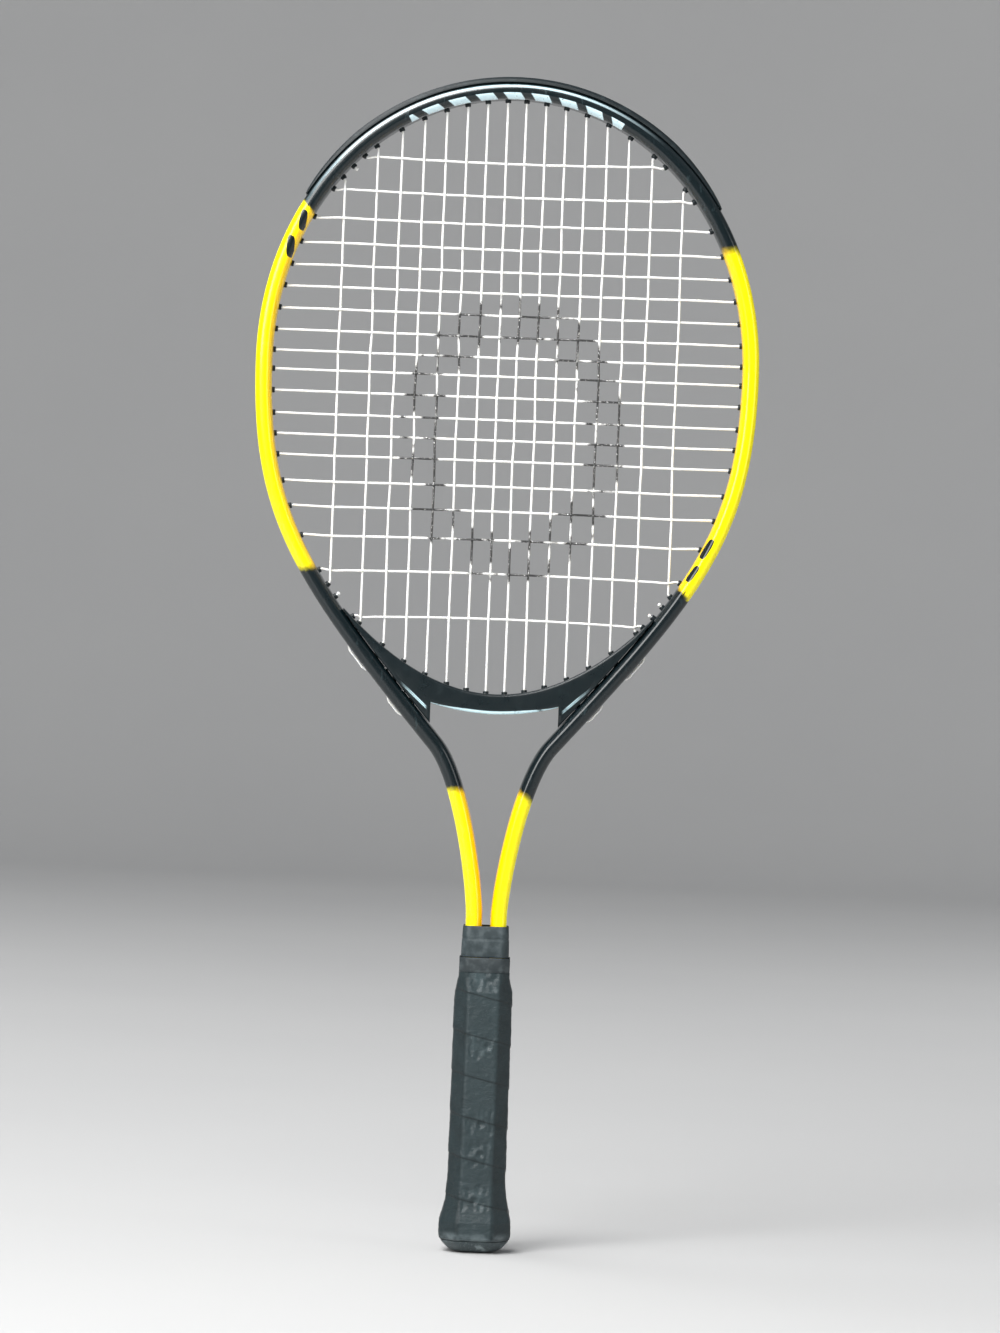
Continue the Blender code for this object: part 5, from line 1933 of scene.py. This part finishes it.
class InnerParts:
    """The small pieces kept from the CAD: rivets, staples and pallets."""

    def dress(self) -> None:
        """Gives each kept piece its finish."""
        bright, dull = (0.60, 0.61, 0.62, 1), (0.42, 0.42, 0.42, 1)
        steel = PlainStuff("rivet_steel", bright, dull, roughness=0.3, metallic=1.0)
        dark, pale = (0.10, 0.10, 0.095, 1), (0.14, 0.14, 0.13, 1)
        foam = PlainStuff("pallet_foam", dark, pale, roughness=0.8, grain=900)
        metal, soft = steel.material(), foam.material()
        for name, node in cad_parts.items():
            if name.startswith(("bridge_rivet", "cap_staple")):
                self.give(node, metal)
            elif name.startswith("pallet"):
                self.give(node, soft)

    def give(self, node: bpy.types.Object, material: bpy.types.Material) -> None:
        """Puts one material on a kept node.

        Args:
            node: The kept piece.
            material: Its finish.
        """
        node.data.materials.clear()
        node.data.materials.append(material)
        LOG.info("%s: kept, dressed in %s", node.name, material.name)


# ------------------------------------------------------------------ stage, light and camera


@dataclass(frozen=True)
class Lamp:
    """One soft rectangular light: where it hangs, its width and height, its watts and its aim."""

    name: str
    place: tuple[float, float, float]
    size: tuple[float, float]
    power: float
    target: tuple[float, float, float] = (0, 0, 0.36)


WALL = (0, 8, 0.5)


@dataclass
class Studio:
    """A pale round backdrop, large soft lights and the camera."""

    floor_radius: float = 5.2
    wall_radius: float = 2.6
    wall_height: float = 6.0
    sides: int = 96
    bend_steps: int = 18
    paper: tuple[Colour, Colour] = ((0.50, 0.50, 0.50, 1), (0.53, 0.53, 0.525, 1))
    sky: Colour = (0.92, 0.95, 1.0, 1)
    sky_strength: float = 0.30
    sensor: float = 36
    camera_distance: float = 3.0
    view_height: float = 0.7778
    aim_x: float = 2.33 * MM
    aim_z: float = 341.35 * MM
    roll: float = 0.0384
    lamps: tuple[Lamp, ...] = (
        Lamp("key_light", (-1.5, -2.5, 1.4), (1.5, 1.5), 58),
        Lamp("fill_light", (2.4, -1.3, 0.8), (0.9, 2.0), 15),
        Lamp("crown_light", (-0.75, -1.45, 2.1), (1.6, 0.8), 54),
        Lamp("top_light", (-1.0, -0.05, 2.3), (2.8, 1.1), 40),
        Lamp("wall_light_left", (-3.0, 1.6, 1.6), (2.0, 2.0), 72, WALL),
        Lamp("wall_light_right", (3.0, 1.6, 1.6), (2.0, 2.0), 72, WALL),
    )

    def backdrop(self) -> None:
        """Builds a round floor that curves up into a wall."""
        profile = [(self.floor_radius * 0.5, 0.0), (self.floor_radius, 0.0)]
        for turn in np.linspace(0, math.pi / 2, self.bend_steps)[1:]:
            out = self.floor_radius + self.wall_radius * math.sin(turn)
            profile.append((out, self.wall_radius * (1 - math.cos(turn))))
        profile.append((self.floor_radius + self.wall_radius, self.wall_height))
        mesh = bpy.data.meshes.new("backdrop")
        shape = bmesh.new()
        middle = shape.verts.new((0, 0, 0))
        turns = np.linspace(0, 2 * math.pi, self.sides, endpoint=False)
        rows = []
        for radius, z in profile:
            ring = [(radius * math.cos(turn), radius * math.sin(turn), z) for turn in turns]
            rows.append([shape.verts.new(point) for point in ring])
        for k in range(self.sides):
            m = (k + 1) % self.sides
            shape.faces.new((middle, rows[0][k], rows[0][m]))
            for low, high in zip(rows, rows[1:]):
                shape.faces.new((low[k], high[k], high[m], low[m]))
        shape.to_mesh(mesh)
        shape.free()
        mesh.shade_smooth()
        g = Graph("backdrop_paper", Roughness=0.9)
        g.colour(g.mix(g.noise(2.0, 3), *self.paper))
        mesh.materials.append(g.material)
        floor = bpy.data.objects.new("backdrop", mesh)
        bpy.context.scene.collection.objects.link(floor)

    def hang(self, lamp: Lamp) -> None:
        """Hangs one light, out of the camera's sight.

        Args:
            lamp: The light.
        """
        data = bpy.data.lights.new(lamp.name, "AREA")
        data.shape = "RECTANGLE"
        data.size, data.size_y = lamp.size
        data.energy = lamp.power
        light = bpy.data.objects.new(lamp.name, data)
        light.location = lamp.place
        light.visible_camera = False
        aim = Vector(lamp.target) - Vector(lamp.place)
        light.rotation_euler = aim.to_track_quat("-Z", "Y").to_euler()
        bpy.context.scene.collection.objects.link(light)

    def world(self) -> None:
        """Fills the surroundings with a pale, even light."""
        world = bpy.data.worlds.new("studio_world")
        world.use_nodes = True
        background = world.node_tree.nodes["Background"]
        background.inputs["Color"].default_value = self.sky
        background.inputs["Strength"].default_value = self.sky_strength
        bpy.context.scene.world = world

    def camera(self) -> None:
        """Sets the camera square to the string bed, rolled very slightly."""
        data = bpy.data.cameras.new("camera")
        data.sensor_fit = "AUTO"
        data.sensor_width = self.sensor
        data.lens = self.sensor * self.camera_distance / self.view_height
        camera = bpy.data.objects.new("camera", data)
        level = math.sqrt(1 - self.roll**2)
        turn = Matrix(((level, -self.roll, 0), (0, 0, -1), (self.roll, level, 0)))
        place = Vector((self.aim_x, -self.camera_distance, self.aim_z))
        camera.matrix_world = Matrix.Translation(place) @ turn.to_4x4()
        bpy.context.scene.collection.objects.link(camera)
        bpy.context.scene.camera = camera

    def build(self) -> None:
        """Sets the whole studio up."""
        self.backdrop()
        self.world()
        for lamp in self.lamps:
            self.hang(lamp)
        self.camera()
        bpy.context.scene.view_settings.view_transform = "Standard"


def main() -> None:
    """Builds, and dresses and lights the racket."""
    logging.basicConfig(level=logging.INFO, format="%(name)s: %(message)s")
    line = HoopLine()
    bed = StringBed(line.edge(), line)
    Hoop(bed).build()
    Bridge(bed).build()
    Grommets(bed).build()
    Strings(bed).build()
    Handle().build()
    InnerParts().dress()
    Studio().build()
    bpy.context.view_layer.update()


if __name__ == "__main__":
    main()
